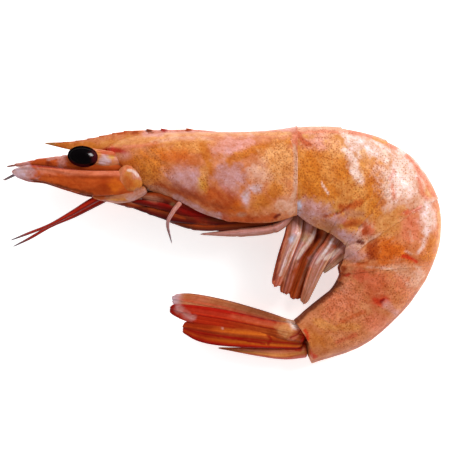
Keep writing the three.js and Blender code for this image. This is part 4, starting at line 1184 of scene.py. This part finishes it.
deselect()
bpy.ops.mesh.primitive_plane_add(size=6, location=(0, 0, 0))
table = bpy.context.object
table.name = "Table"
white = bpy.data.materials.new("Pale table")
white.use_nodes = True
grain = node(white.node_tree, "ShaderNodeTexNoise", {"Scale": 60.0, "Detail": 2.0})
tone = node(white.node_tree, "ShaderNodeMapRange",
            {"Value": grain.outputs["Fac"], "To Min": 0.86, "To Max": 0.9})
feed(white.node_tree, white.node_tree.nodes["Principled BSDF"], {
    "Base Color": tone.outputs[0], "Roughness": 0.9, "Specular IOR Level": 0.1,
    "Emission Color": (1, 1, 1, 1), "Emission Strength": 0.6})
table.data.materials.append(white)


def softbox(name, towards, distance, size, power):
    """A square soft light that faces the prawn."""
    light = bpy.data.lights.new(name, "AREA")
    light.size = size
    light.energy = power
    lamp = bpy.data.objects.new(name, light)
    bpy.context.scene.collection.objects.link(lamp)
    way = np.array(towards, float) / np.linalg.norm(towards)
    lamp.location = way * distance
    across = math.atan2(way[1], way[0])
    lamp.rotation_euler = (0, math.acos(way[2]), across)
    return lamp


softbox("Key", (0.62, 0.42, 0.62), 0.9, 0.4, 6.5)
softbox("Fill", (-0.7, 0.5, 0.5), 1.1, 0.7, 3).visible_glossy = False

world = bpy.data.worlds.new("Studio")
world.use_nodes = True
sky = world.node_tree
sky.nodes["Background"].inputs["Color"].default_value = (1, 1, 1, 1)
way = node(sky, "ShaderNodeSeparateXYZ", {0: node(sky, "ShaderNodeTexCoord").outputs["Generated"]})
# a light tent: bright walls and a dim ceiling, so that wet faces which lie flat keep their colour
wall = node(sky, "ShaderNodeMapRange", {"Value": way.outputs["Z"], "From Min": 0.55, "From Max": 0.9,
                                        "To Min": 0.75, "To Max": 0.3}, interpolation_type="SMOOTHSTEP")
# the tent is dimmer in reflections than it lights, as through a polariser
glossy = node(sky, "ShaderNodeLightPath").outputs["Is Glossy Ray"]
seen = math_node(sky, "MULTIPLY_ADD", glossy, -0.93, 1.0)
feed(sky, sky.nodes["Background"], {"Strength": math_node(sky, "MULTIPLY", wall.outputs[0], seen)})
bpy.context.scene.world = world
bpy.context.scene.view_settings.view_transform = "Standard"

# half the width of the view in mm, the eye's height above the table, and the level where the width counts
HALF_VIEW, EYE_HEIGHT, VIEW_LEVEL = 56.25, 600, 11
camera = bpy.data.cameras.new("Camera")
camera.sensor_fit = "HORIZONTAL"
camera.angle = 2 * math.atan(HALF_VIEW / (EYE_HEIGHT - VIEW_LEVEL))
eye_point = bpy.data.objects.new("Camera", camera)
bpy.context.scene.collection.objects.link(eye_point)
eye_point.location = (0.000651, 0.004925, EYE_HEIGHT / 1000)
bpy.context.scene.camera = eye_point
